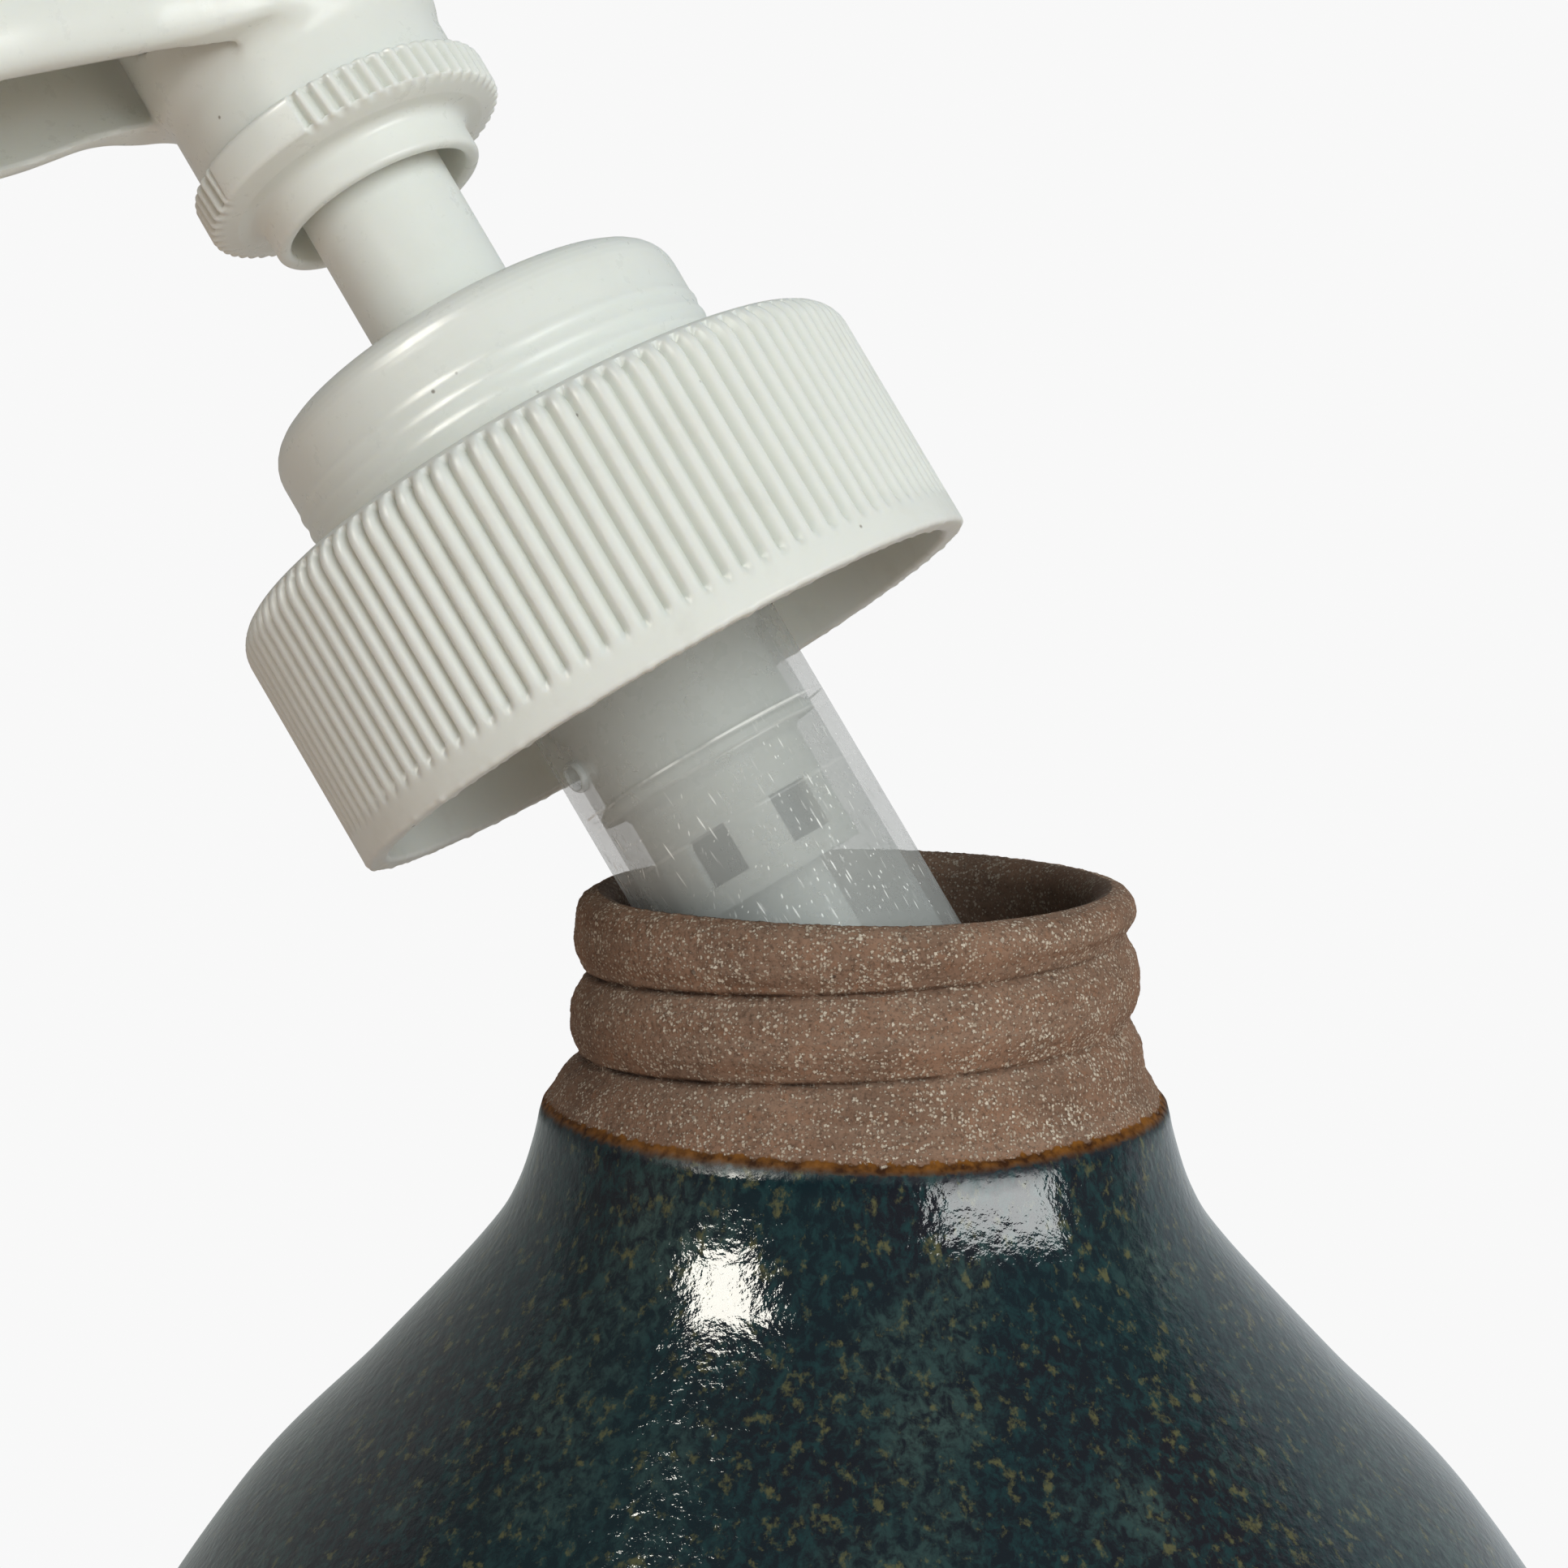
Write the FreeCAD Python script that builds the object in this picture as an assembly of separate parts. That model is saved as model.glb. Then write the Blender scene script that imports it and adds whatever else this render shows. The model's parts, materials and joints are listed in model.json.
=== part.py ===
import FreeCAD, Part
import math
import os
from FreeCAD import Placement, Rotation, Vector

# Soap dispenser: a thrown stoneware bottle with a threaded clay neck, and a
# finger pump for a wide screw neck.  The pump is drawn half out of the bottle
# and leans on the rim.  Millimetres, +Z up, origin at the middle of the foot.

# ---- bottle ----
BOTTLE_HEIGHT = 124.0
FOOT_RADIUS = 38.0
BELLY_RADIUS = 55.9
BELLY_HEIGHT = 50.0
BORE_RADIUS = 16.2
FLOOR_THICKNESS = 6.0
NECK_LENGTH = 14.4          # rim down to the ledge where the glaze stops
LEDGE_RADIUS = 21.1
THREAD_ROOT = 19.0
THREAD_CREST = 19.8
THREAD_PITCH = 5.5

# ---- how the pump sits: it leans to -X and its lower end comes to -Y ----
LEAN_SIDEWAYS = 30.7
LEAN_FORWARD = 6.9
AXIS_AT_RIM = Vector(-4.9, -4.6, BOTTLE_HEIGHT)
RIM_STATION = -28.4         # pump height that lies in the plane of the rim

# ---- pump, upright: height 0 is the sealing face under the gasket ----
STROKE = 13.5
RUNNING_FIT = 0.05          # radial, between pieces that slide or turn
HOUSING_RADIUS = 9.2
AIR_BORE = 8.1
AIR_FLOOR = -40.0
LIQUID_BORE = 4.4
LIQUID_RADIUS = 5.6
SEAT_HEIGHT = -72.1         # top of the cone that the suction ball sits on
GASKET_THICKNESS = 1.5
FLANGE_RADIUS = 18.4
FLANGE_TOP = 2.65
CAP_RADIUS = 22.9
CAP_TOP = 4.1
CAP_BOTTOM = -13.4
CAP_INNER = 21.3
CAP_RIBS = 105
RIB_DEPTH = 0.45
COLLAR_RADIUS = 15.1
COLLAR_TOP = 14.0
SPIGOT_RADIUS = 12.4
STEM_RADIUS = 5.2
STEM_BORE = 3.2
STEM_TOP = 33.0
PISTON_TOP = -10.0
BALL_RADIUS = 1.6
WIRE_DIAMETER = 0.8
SPRING_TURNS = 7.0
TUBE_RADIUS = 2.3
TUBE_END = -114.0
VENT_HEIGHT = -15.2
VENT_BEARING = -53.0        # degrees from the front (-Y) towards +X

# ---- head ----
SKIRT_BOTTOM = 25.1
SKIRT_RADIUS = 7.7
HEAD_FLANGE = 10.95
HEAD_FLANGE_BOTTOM = 28.3
HEAD_FLANGE_TOP = 31.0
KNURL_TEETH = 60
KNURL_DEPTH = 0.5
PLAIN_MIDDLE = 20.0         # bearing of the flange's smooth part, from the spout's
PLAIN_HALF_ANGLE = 21.0
BOSS_RADIUS = 9.7
HOOD_BOTTOM = 36.2
HOOD_WIDTH = 15.2
HOOD_WALL = 1.4
SPOUT_REACH = 40.8
SPOUT_BEARING = -45.0
HOOD_FILLET = 7.0          # hollow blend between the boss and the hood
HEAD_TOP = 49.0
CONDUIT_HEIGHT = 42.2
CONDUIT_RADIUS = 2.5
CONDUIT_BEND = 34.0

AXIS = Vector(0, 0, 1)


def lathe(points):
    """A solid of revolution about Z from a closed outline of (radius, height)."""
    corners = [Vector(r, 0, z) for r, z in points]
    wire = Part.makePolygon(corners + corners[:1])
    return Part.Face(wire).revolve(Vector(), AXIS, 360)


def ring(outer, inner, low, high):
    return lathe([(inner, low), (outer, low), (outer, high), (inner, high)])


def curve(points):
    spline = Part.BSplineCurve()
    spline.interpolate([Vector(r, 0, z) for r, z in points])
    return spline.toShape()


def line(a, b):
    return Part.makeLine(Vector(a[0], 0, a[1]), Vector(b[0], 0, b[1]))


def bearing(angle, radius, height):
    """A point at an angle from the front (-Y) towards +X."""
    turn = math.radians(angle)
    return Vector(radius * math.sin(turn), -radius * math.cos(turn), height)


def screw_ridge(outline, pitch, length, start):
    """A helical ridge whose section is a closed outline of (radius, height)."""
    radius = outline[0][0]
    helix = Part.makeHelix(pitch, length, radius)
    corners = [Vector(r, 0, z) for r, z in outline]
    sweep = Part.BRepOffsetAPI.MakePipeShell(helix)
    sweep.setFrenetMode(True)
    sweep.add(Part.makePolygon(corners + corners[:1]))
    sweep.build()
    sweep.makeSolid()
    ridge = sweep.shape()
    ridge.translate(Vector(0, 0, start))
    return ridge


def toothed_prism(count, root, crest, low, high, plain=None):
    """A prism with one V tooth per step, left smooth over the plain bearings."""
    corners = []
    for step in range(count):
        angle = 360.0 * step / count
        smooth = plain is not None and plain(angle)
        corners.append(bearing(angle, crest, low))
        if not smooth:
            corners.append(bearing(angle + 180.0 / count, root, low))
    wire = Part.makePolygon(corners + corners[:1])
    return Part.Face(wire).extrude(Vector(0, 0, high - low))


# ---- bottle ----
def bottle_body():
    top = BOTTLE_HEIGHT
    ledge = top - NECK_LENGTH
    rim = 1.8
    outside = [
        (FOOT_RADIUS + 1.5, 2.0),
        (46.1, 12.0),
        (52.1, 26.0),
        (BELLY_RADIUS, BELLY_HEIGHT),
        (52.9, 66.0),
        (43.9, top - 43.8),
        (34.5, top - 34.3),
        (26.2, top - 25.3),
        (23.3, top - 20.9),
        (LEDGE_RADIUS, ledge - 0.4),
    ]
    inside = [
        (BORE_RADIUS, ledge - 1.0),
        (20.3, top - 23.8),
        (29.5, top - 35.0),
        (38.9, top - 44.4),
        (48.4, 65.0),
        (BELLY_RADIUS - 4.6, BELLY_HEIGHT),
        (47.6, 26.0),
        (40.8, 12.5),
        (34.0, FLOOR_THICKNESS + 1.6),
        (26.0, FLOOR_THICKNESS),
    ]
    crown = top - rim
    edges = [
        line((0, 0), (FOOT_RADIUS, 0)),
        line((FOOT_RADIUS, 0), outside[0]),
        curve(outside),
        line(outside[-1], (LEDGE_RADIUS - 0.7, ledge + 0.3)),
        line((LEDGE_RADIUS - 0.7, ledge + 0.3), (THREAD_ROOT, ledge + 2.0)),
        line((THREAD_ROOT, ledge + 2.0), (BORE_RADIUS + 2 * rim - 0.6, crown)),
        Part.Arc(
            Vector(BORE_RADIUS + 2 * rim - 0.6, 0, crown),
            Vector(BORE_RADIUS + rim - 0.3, 0, top),
            Vector(BORE_RADIUS, 0, crown),
        ).toShape(),
        line((BORE_RADIUS, crown), inside[0]),
        curve(inside),
        line(inside[-1], (0, FLOOR_THICKNESS)),
        line((0, FLOOR_THICKNESS), (0, 0)),
    ]
    body = Part.Face(Part.Wire(edges)).revolve(Vector(), AXIS, 360)
    embedded = THREAD_ROOT - 0.5
    thread = screw_ridge(
        [(embedded, -1.7), (THREAD_CREST - 0.2, -1.1), (THREAD_CREST, -0.5),
         (THREAD_CREST, 0.5), (THREAD_CREST - 0.2, 1.1), (embedded, 1.7)],
        THREAD_PITCH, 1.6 * THREAD_PITCH, ledge + 3.3,
    )
    return body.fuse(thread).removeSplitter()


# ---- closure ----
def screw_cap():
    rounding = 2.2
    band_top = CAP_BOTTOM + 2.2
    plate_bottom = FLANGE_TOP + RUNNING_FIT
    blank = Part.makeCylinder(CAP_RADIUS, CAP_TOP - band_top, Vector(0, 0, band_top))
    rim_edge = [e for e in blank.Edges if abs(e.CenterOfMass.z - CAP_TOP) < 0.01]
    blank = blank.makeFillet(rounding, rim_edge)
    ribs = toothed_prism(CAP_RIBS, CAP_RADIUS - RIB_DEPTH, CAP_RADIUS, band_top, CAP_TOP)
    blank = blank.common(ribs)
    band = Part.makeCylinder(CAP_RADIUS, band_top - CAP_BOTTOM, Vector(0, 0, CAP_BOTTOM))
    shell = blank.fuse(band)
    hollow = Part.makeCylinder(CAP_INNER, plate_bottom - CAP_BOTTOM + 1,
                               Vector(0, 0, CAP_BOTTOM - 1))
    hole = Part.makeCylinder(SPIGOT_RADIUS + 0.15, 20, Vector(0, 0, -5))
    shell = shell.cut(hollow).cut(hole)
    thread = screw_ridge(
        [(CAP_INNER + 0.3, -1.3), (THREAD_CREST - 0.35, -0.5),
         (THREAD_CREST - 0.35, 0.5), (CAP_INNER + 0.3, 1.3)],
        THREAD_PITCH, 1.4 * THREAD_PITCH, -10.6,
    )
    return shell.fuse(thread).removeSplitter()


def collar():
    """Snap-on collar: it holds the cap on the housing and guides the stem."""
    shoulder = 2.5
    recess_floor = SKIRT_BOTTOM - STROKE - 0.6
    guide = STEM_RADIUS + RUNNING_FIT
    sleeve = guide + 1.0
    pocket = HOUSING_RADIUS + RUNNING_FIT
    skirt_hole = SKIRT_RADIUS + 0.4
    bottom = CAP_TOP + RUNNING_FIT
    outline = [(SPIGOT_RADIUS, FLANGE_TOP), (SPIGOT_RADIUS, bottom), (COLLAR_RADIUS, bottom)]
    for height in (6.2, 7.4, 8.6):      # rings that grip an overcap
        outline += [(COLLAR_RADIUS, height), (COLLAR_RADIUS + 0.2, height + 0.3),
                    (COLLAR_RADIUS, height + 0.6)]
    for step in range(0, 7):
        turn = math.radians(15 * step)
        outline.append((COLLAR_RADIUS - shoulder * (1 - math.cos(turn)),
                        COLLAR_TOP - shoulder * (1 - math.sin(turn))))
    outline += [
        (skirt_hole, COLLAR_TOP),
        (skirt_hole, recess_floor),
        (guide, recess_floor),
        (guide, PISTON_TOP + RUNNING_FIT),
        (sleeve, PISTON_TOP + RUNNING_FIT),
        (sleeve, recess_floor - 1.6),
        (pocket, recess_floor - 1.6),
        (pocket, 7.4),
        (pocket + 0.4, 7.2),
        (pocket + 0.4, 6.3),
        (pocket, 6.1),
        (pocket, FLANGE_TOP),
    ]
    return lathe(outline)


def neck_gasket():
    return ring(FLANGE_RADIUS + 0.2, HOUSING_RADIUS + 0.1, 0, GASKET_THICKNESS)


# ---- housing and what sits in it ----
def pump_cylinder():
    """Air cylinder above, liquid cylinder below it, dip-tube socket last."""
    chamber = SEAT_HEIGHT + 1.6
    outline = [
        (AIR_BORE, 7.9), (HOUSING_RADIUS, 7.9), (HOUSING_RADIUS, 7.2),
        (HOUSING_RADIUS + 0.35, 7.0), (HOUSING_RADIUS + 0.35, 6.5), (HOUSING_RADIUS, 6.3),
        (HOUSING_RADIUS, FLANGE_TOP), (FLANGE_RADIUS, FLANGE_TOP),
        (FLANGE_RADIUS, GASKET_THICKNESS), (HOUSING_RADIUS, GASKET_THICKNESS),
        (HOUSING_RADIUS, AIR_FLOOR - 1.0), (LIQUID_RADIUS + 0.6, AIR_FLOOR - 3.5),
        (LIQUID_RADIUS, AIR_FLOOR - 4.0), (LIQUID_RADIUS, SEAT_HEIGHT - 1.4),
        (TUBE_RADIUS + 1.2, SEAT_HEIGHT - 3.0), (TUBE_RADIUS + 1.2, SEAT_HEIGHT - 10.0),
        (TUBE_RADIUS, SEAT_HEIGHT - 10.0), (TUBE_RADIUS, SEAT_HEIGHT - 2.1),
        (1.0, SEAT_HEIGHT - 2.1), (1.0, SEAT_HEIGHT - 0.9), (1.9, SEAT_HEIGHT),
        (1.9, chamber), (LIQUID_BORE, chamber), (LIQUID_BORE, AIR_FLOOR - 2.6),
        (5.2, AIR_FLOOR - 2.2), (AIR_BORE, AIR_FLOOR),
    ]
    vent = Part.makeCylinder(0.8, 6, bearing(VENT_BEARING, HOUSING_RADIUS - 3, VENT_HEIGHT),
                             bearing(VENT_BEARING, 1, 0))
    return lathe(outline).cut(vent)


def dip_tube():
    tube = ring(TUBE_RADIUS, TUBE_RADIUS - 0.6, TUBE_END, SEAT_HEIGHT - 2.1)
    bevel = Part.makeBox(12, 12, 6, Vector(-6, -6, -6))
    bevel.rotate(Vector(), Vector(0, 1, 0), 30)
    bevel.translate(Vector(0, 0, TUBE_END + 1.3))
    return tube.cut(bevel)


def ball_retainer():
    """Ring over the suction ball; the spring stands on it."""
    low = SEAT_HEIGHT + 1.6
    web = low + 1.9
    body = lathe([
        (2.1, low), (LIQUID_BORE, low), (LIQUID_BORE, web + 0.8),
        (1.2, web + 0.8), (1.2, web), (2.1, web),
    ])
    for step in range(3):
        slot = Part.makeBox(1.6, 0.8, 2, Vector(1.0, -0.4, web - 0.5))
        slot.rotate(Vector(), AXIS, 120 * step)
        body = body.cut(slot)
    return body


def seated_ball(cone_top, cone_height):
    """A ball resting, with a hair of clearance, in a cone that narrows from 1.9 to 1.0."""
    slope = math.atan2(0.9, cone_height)
    centre = cone_top - 1.9 / math.tan(slope) + BALL_RADIUS / math.sin(slope) + 0.03
    return Part.makeSphere(BALL_RADIUS, Vector(0, 0, centre))


def suction_ball():
    return seated_ball(SEAT_HEIGHT, 0.9)


# ---- what moves with the stem ----
LIQUID_PISTON_TOP = PISTON_TOP - 6.0
LIQUID_PISTON_END = -45.5


def piston_stem():
    chamber_top = LIQUID_PISTON_TOP + 3.4
    return lathe([
        (STEM_BORE, STEM_TOP), (STEM_RADIUS, STEM_TOP), (STEM_RADIUS, PISTON_TOP),
        (4.6, PISTON_TOP), (4.6, PISTON_TOP - 11.0), (3.4, PISTON_TOP - 11.0),
        (3.4, LIQUID_PISTON_TOP), (2.0, LIQUID_PISTON_TOP), (2.0, chamber_top),
        (1.2, chamber_top), (1.2, chamber_top + 0.8), (STEM_BORE, chamber_top + 2.4),
    ])


def air_piston():
    lip = AIR_BORE - RUNNING_FIT
    top = PISTON_TOP
    return lathe([
        (4.6, top), (6.2, top), (7.1, top - 0.9), (lip, top - 0.9), (lip, top - 1.5),
        (7.3, top - 2.3), (7.3, top - 7.5), (lip, top - 8.2), (lip, top - 8.8),
        (6.8, top - 8.8), (6.4, top - 9.4), (4.6, top - 9.4),
    ])


def valve_cage():
    top = PISTON_TOP - 9.4
    cage = lathe([
        (4.6, top), (6.4, top), (6.4, top - 8.2), (5.5, top - 8.2),
        (5.5, top - 1.8), (4.6, top - 1.8),
    ])
    for step in range(6):
        window = Part.makeBox(3.0, 3.2, 3.4, Vector(4.8, -1.6, top - 6.6))
        window.rotate(Vector(), AXIS, 60 * step + 10)
        cage = cage.cut(window)
    return cage


def air_valve():
    """Soft sleeve that lets air into the foam chamber on the down stroke."""
    top = PISTON_TOP - 11.0
    return lathe([
        (3.4, top), (4.5, top), (4.5, top - 5.2), (5.3, top - 5.9),
        (5.3, top - 6.3), (3.4, top - 6.3),
    ])


def liquid_piston():
    top = LIQUID_PISTON_TOP
    end = LIQUID_PISTON_END
    lip = LIQUID_BORE - RUNNING_FIT
    return lathe([
        (1.9, top), (3.4, top), (3.4, end + 3.0), (lip, end + 2.2), (lip, end + 1.4),
        (3.9, end + 0.9), (3.9, end), (1.9, end), (1.9, top - 2.2), (1.0, top - 2.0),
        (1.0, top - 1.1),
    ])


def discharge_ball():
    return seated_ball(LIQUID_PISTON_TOP, 1.1)


def return_spring():
    """Compression spring with a flattened end coil at each end."""
    wire = WIRE_DIAMETER / 2
    low = SEAT_HEIGHT + 4.3 + wire
    high = LIQUID_PISTON_END - wire
    radius = LIQUID_BORE - 0.75
    helix = Part.makeHelix((high - low) / SPRING_TURNS, high - low, radius)
    sweep = Part.BRepOffsetAPI.MakePipeShell(helix)
    sweep.setFrenetMode(True)
    circle = Part.Circle(Vector(radius, 0, 0), Vector(0, 1, 0), wire)
    sweep.add(Part.Wire(circle.toShape()))
    sweep.build()
    sweep.makeSolid()
    coil = sweep.shape()
    coil.translate(Vector(0, 0, low))
    return coil


def mesh_holder():
    return ring(STEM_BORE, STEM_BORE - 0.6, 21.0, STEM_TOP - 0.6)


def coarse_mesh():
    return ring(STEM_BORE - 0.05, 0.15, 20.8, 21.0)


def fine_mesh():
    return ring(STEM_BORE - 0.05, 0.1, STEM_TOP - 0.6, STEM_TOP - 0.45)


# ---- head: built with its spout along +X, then turned to its bearing ----
def plan_prism(inset, low, high):
    """The hood seen from above, drawn in by an inset, between two heights."""
    boss = BOSS_RADIUS - inset
    half = HOOD_WIDTH / 2 - inset
    blend = HOOD_FILLET + inset
    tip = SPOUT_REACH - HOOD_WIDTH / 2
    level = half + blend
    start = math.sqrt((boss + blend) ** 2 - level ** 2)
    share = boss / (boss + blend)
    middle = 0.5 * (math.atan2(-level, -start) - math.pi / 2)

    def point(x, y):
        return Vector(x, y, low)

    def hollow(side):
        """Arc from the boss round to the flank of the hood."""
        return Part.Arc(
            point(start * share, side * level * share),
            point(start + blend * math.cos(middle), side * (level + blend * math.sin(middle))),
            point(start, side * half),
        ).toShape()

    edges = [
        Part.Arc(point(start * share, level * share), point(-boss, 0),
                 point(start * share, -level * share)).toShape(),
        hollow(-1),
        Part.makeLine(point(start, -half), point(tip, -half)),
        Part.Arc(point(tip, -half), point(tip + half, 0), point(tip, half)).toShape(),
        Part.makeLine(point(tip, half), point(start, half)),
        hollow(1),
    ]
    outline = Part.Wire(Part.__sortEdges__(edges))
    return Part.Face(outline).extrude(Vector(0, 0, high - low))


def under_crest(drop):
    """Everything below the head's top line in side view, lowered by a drop."""
    low = 20.0
    crest = curve([(-12.0, 41.0), (-8.6, 46.2), (-1.0, 48.4), (9.0, 47.3), (22.0, 46.9),
                   (32.0, 46.8), (37.0, 45.6), (40.0, 43.2), (42.0, 40.5)])
    outline = [crest, line((42.0, 40.5), (42.0, low)), line((42.0, low), (-12.0, low)),
               line((-12.0, low), (-12.0, 41.0))]
    profile = Part.Face(Part.Wire(outline)).extrude(Vector(0, 24, 0))
    profile.translate(Vector(0, -12, -drop))
    return profile


def actuator_head():
    socket = STEM_RADIUS + RUNNING_FIT
    core = lathe([
        (6.7, SKIRT_BOTTOM), (SKIRT_RADIUS, SKIRT_BOTTOM), (SKIRT_RADIUS, 27.8),
        (9.3, 27.8), (HEAD_FLANGE, HEAD_FLANGE_BOTTOM), (HEAD_FLANGE, HEAD_FLANGE_TOP),
        (BOSS_RADIUS, HEAD_FLANGE_TOP), (BOSS_RADIUS, HOOD_BOTTOM + 1), (0, HOOD_BOTTOM + 1),
        (0, 34.2), (socket, 34.2), (socket, 28.4), (6.7, 28.4),
    ])
    knurl = toothed_prism(
        KNURL_TEETH, HEAD_FLANGE - KNURL_DEPTH, HEAD_FLANGE, HEAD_FLANGE_BOTTOM, HEAD_FLANGE_TOP,
        lambda angle: abs(angle - 90 - PLAIN_MIDDLE) < PLAIN_HALF_ANGLE,
    )
    band = ring(HEAD_FLANGE + 1, 0.01, HEAD_FLANGE_BOTTOM, HEAD_FLANGE_TOP).cut(knurl)
    hood = plan_prism(0, HOOD_BOTTOM, HEAD_TOP).common(under_crest(0))
    channel = plan_prism(HOOD_WALL, HOOD_BOTTOM - 1, HEAD_TOP).common(under_crest(HOOD_WALL + 0.2))
    channel = channel.cut(Part.makeCylinder(BOSS_RADIUS - 0.01, 20, Vector(0, 0, 30)))
    bore = Part.makeCylinder(2.0, CONDUIT_HEIGHT - 34, Vector(0, 0, 34))
    socket_hole = Part.makeCylinder(CONDUIT_RADIUS, BOSS_RADIUS, Vector(3.0, 0, CONDUIT_HEIGHT),
                                    Vector(1, 0, 0))
    across = Part.makeCylinder(1.9, 4.0, Vector(0, 0, CONDUIT_HEIGHT), Vector(1, 0, 0))
    head = core.cut(band).fuse(hood)
    for space in (channel, bore, socket_hole, across):
        head = head.cut(space)
    return head


def foam_conduit():
    """Tube under the hood that carries the foam to the tip and turns down."""
    run = CONDUIT_BEND - 3.0

    def path(radius, extra):
        level = Part.makeCylinder(radius, run + extra, Vector(3.0 - extra, 0, CONDUIT_HEIGHT),
                                  Vector(1, 0, 0))
        knee = Part.makeSphere(radius, Vector(CONDUIT_BEND, 0, CONDUIT_HEIGHT))
        drop = Part.makeCylinder(radius, 5.4 + extra, Vector(CONDUIT_BEND, 0, CONDUIT_HEIGHT),
                                 Vector(0.26, 0, -0.97))
        return level.fuse(knee).fuse(drop)

    return path(CONDUIT_RADIUS, 0).cut(path(CONDUIT_RADIUS - 0.6, 1))


def turned(shape):
    """Turn a piece that was built along +X to the spout's bearing."""
    shape.rotate(Vector(), AXIS, SPOUT_BEARING - 90)
    return shape


def pump_placement():
    lean = Rotation(Vector(0, 1, 0), -LEAN_SIDEWAYS) * Rotation(Vector(1, 0, 0), -LEAN_FORWARD)
    return Placement(AXIS_AT_RIM, lean) * Placement(Vector(0, 0, -RIM_STATION), Rotation())


def pump_parts():
    return {
        "screw_cap": screw_cap(),
        "collar": collar(),
        "neck_gasket": neck_gasket(),
        "pump_cylinder": pump_cylinder(),
        "dip_tube": dip_tube(),
        "ball_retainer": ball_retainer(),
        "suction_ball": suction_ball(),
        "piston_stem": piston_stem(),
        "air_piston": air_piston(),
        "valve_cage": valve_cage(),
        "air_valve": air_valve(),
        "liquid_piston": liquid_piston(),
        "discharge_ball": discharge_ball(),
        "return_spring": return_spring(),
        "mesh_holder": mesh_holder(),
        "coarse_mesh": coarse_mesh(),
        "fine_mesh": fine_mesh(),
        "actuator_head": turned(actuator_head()),
        "foam_conduit": turned(foam_conduit()),
    }


def main():
    os.makedirs("parts", exist_ok=True)
    shapes = {"bottle_body": bottle_body()}
    placement = pump_placement()
    for name, shape in pump_parts().items():
        shape.transformShape(placement.toMatrix(), True)
        shapes[name] = shape
    for name, shape in shapes.items():
        shape = shape.Solids[0]
        shape.exportStep("parts/%s.step" % name)
        print(name, shape.isValid(), round(shape.Volume, 2))


main()
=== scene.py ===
import json
import math

import bmesh
import bpy
import numpy as np
from mathutils import Matrix, Vector, noise


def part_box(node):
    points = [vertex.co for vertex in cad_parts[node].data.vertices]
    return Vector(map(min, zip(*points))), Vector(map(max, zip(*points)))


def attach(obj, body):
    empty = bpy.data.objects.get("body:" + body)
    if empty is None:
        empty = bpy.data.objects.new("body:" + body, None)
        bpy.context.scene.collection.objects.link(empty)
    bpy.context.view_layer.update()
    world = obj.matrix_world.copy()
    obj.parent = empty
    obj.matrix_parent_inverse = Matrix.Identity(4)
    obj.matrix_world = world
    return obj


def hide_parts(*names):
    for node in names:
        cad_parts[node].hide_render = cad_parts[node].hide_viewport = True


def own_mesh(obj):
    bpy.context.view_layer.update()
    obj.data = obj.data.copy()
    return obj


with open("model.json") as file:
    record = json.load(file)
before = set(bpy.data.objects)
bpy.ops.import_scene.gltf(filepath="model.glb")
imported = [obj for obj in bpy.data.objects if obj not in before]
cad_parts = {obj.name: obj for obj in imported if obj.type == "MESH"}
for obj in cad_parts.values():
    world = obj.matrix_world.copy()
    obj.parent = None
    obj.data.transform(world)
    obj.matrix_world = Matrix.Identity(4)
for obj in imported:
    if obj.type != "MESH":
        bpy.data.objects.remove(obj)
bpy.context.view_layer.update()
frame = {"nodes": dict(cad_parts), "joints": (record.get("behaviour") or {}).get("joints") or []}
nodes = frame["nodes"]

# Lengths below are millimetres, and MM turns them into the frame's metres.
MM = 0.001

# ---- bottle ----
BOTTLE_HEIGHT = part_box("bottle_body")[1].z / MM
FOOT_RADIUS = 38.0
BELLY_RADIUS = 55.6
BELLY_HEIGHT = 50.0
BORE_RADIUS = 16.2
FLOOR_HEIGHT = 6.0          # top of the floor, inside
RIM_ROUNDING = 1.8
NECK_CREST = 19.8
NECK_LENGTH = 14.0          # rim down to the edge of the ledge
THREAD_PITCH = 5.8
THREAD_FRONT = 10.3         # depth of the lowest groove on the front of the neck
THREAD_DEPTH = 0.8
GROOVE_WIDTH = 1.25         # how far the groove's soft side reaches
CREASE_DEPTH = 0.45         # of the thin line at the bottom of the groove
CREASE_WIDTH = 0.17
RIM_DIP_REACH = 6.0         # the rim's dip fades out at this depth
WHEEL_MARK_SPACING = 0.35
WHEEL_MARK_DEPTH = 0.05
INSIDE = -50.0              # the glaze attribute on the unglazed inside
GLAZE_THICKNESS = 0.3
FOOT_BARE = 3.0             # unglazed height above the foot

# ---- pump ----
CAP_TOP_ROUNDING = 2.2
CAP_BAND = 2.2
CAP_WALL = 1.6
CAP_ROOF = 1.35             # thickness of the closure's top
CAP_HOLE_INSET = 2.55       # the hole's edge lies this far inside the collar's
CAP_RIBS = 105
RIB_DEPTH = 0.55
RIB_SHARPNESS = 2.6         # higher makes the grooves between the ribs narrower
FLASH_HEIGHT = 0.10         # ragged moulding edge at the closure's mouth
CAP_THREAD_PITCH = 5.5
CAP_THREAD_TURNS = 1.4
CAP_THREAD_START = 2.8      # above the closure's mouth
CAP_THREAD_HEIGHT = 1.75
COLLAR_SHOULDER = 2.5
COLLAR_SLIM = 0.2           # this much less than the CAD radius, for the rings
COLLAR_MOUTH = 8.1          # radius of the recess round the stem
COLLAR_RECESS = 11.0        # height of its bottom
COLLAR_RINGS = (6.5, 7.7, 8.9)
RING_HEIGHT = 0.11
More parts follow.
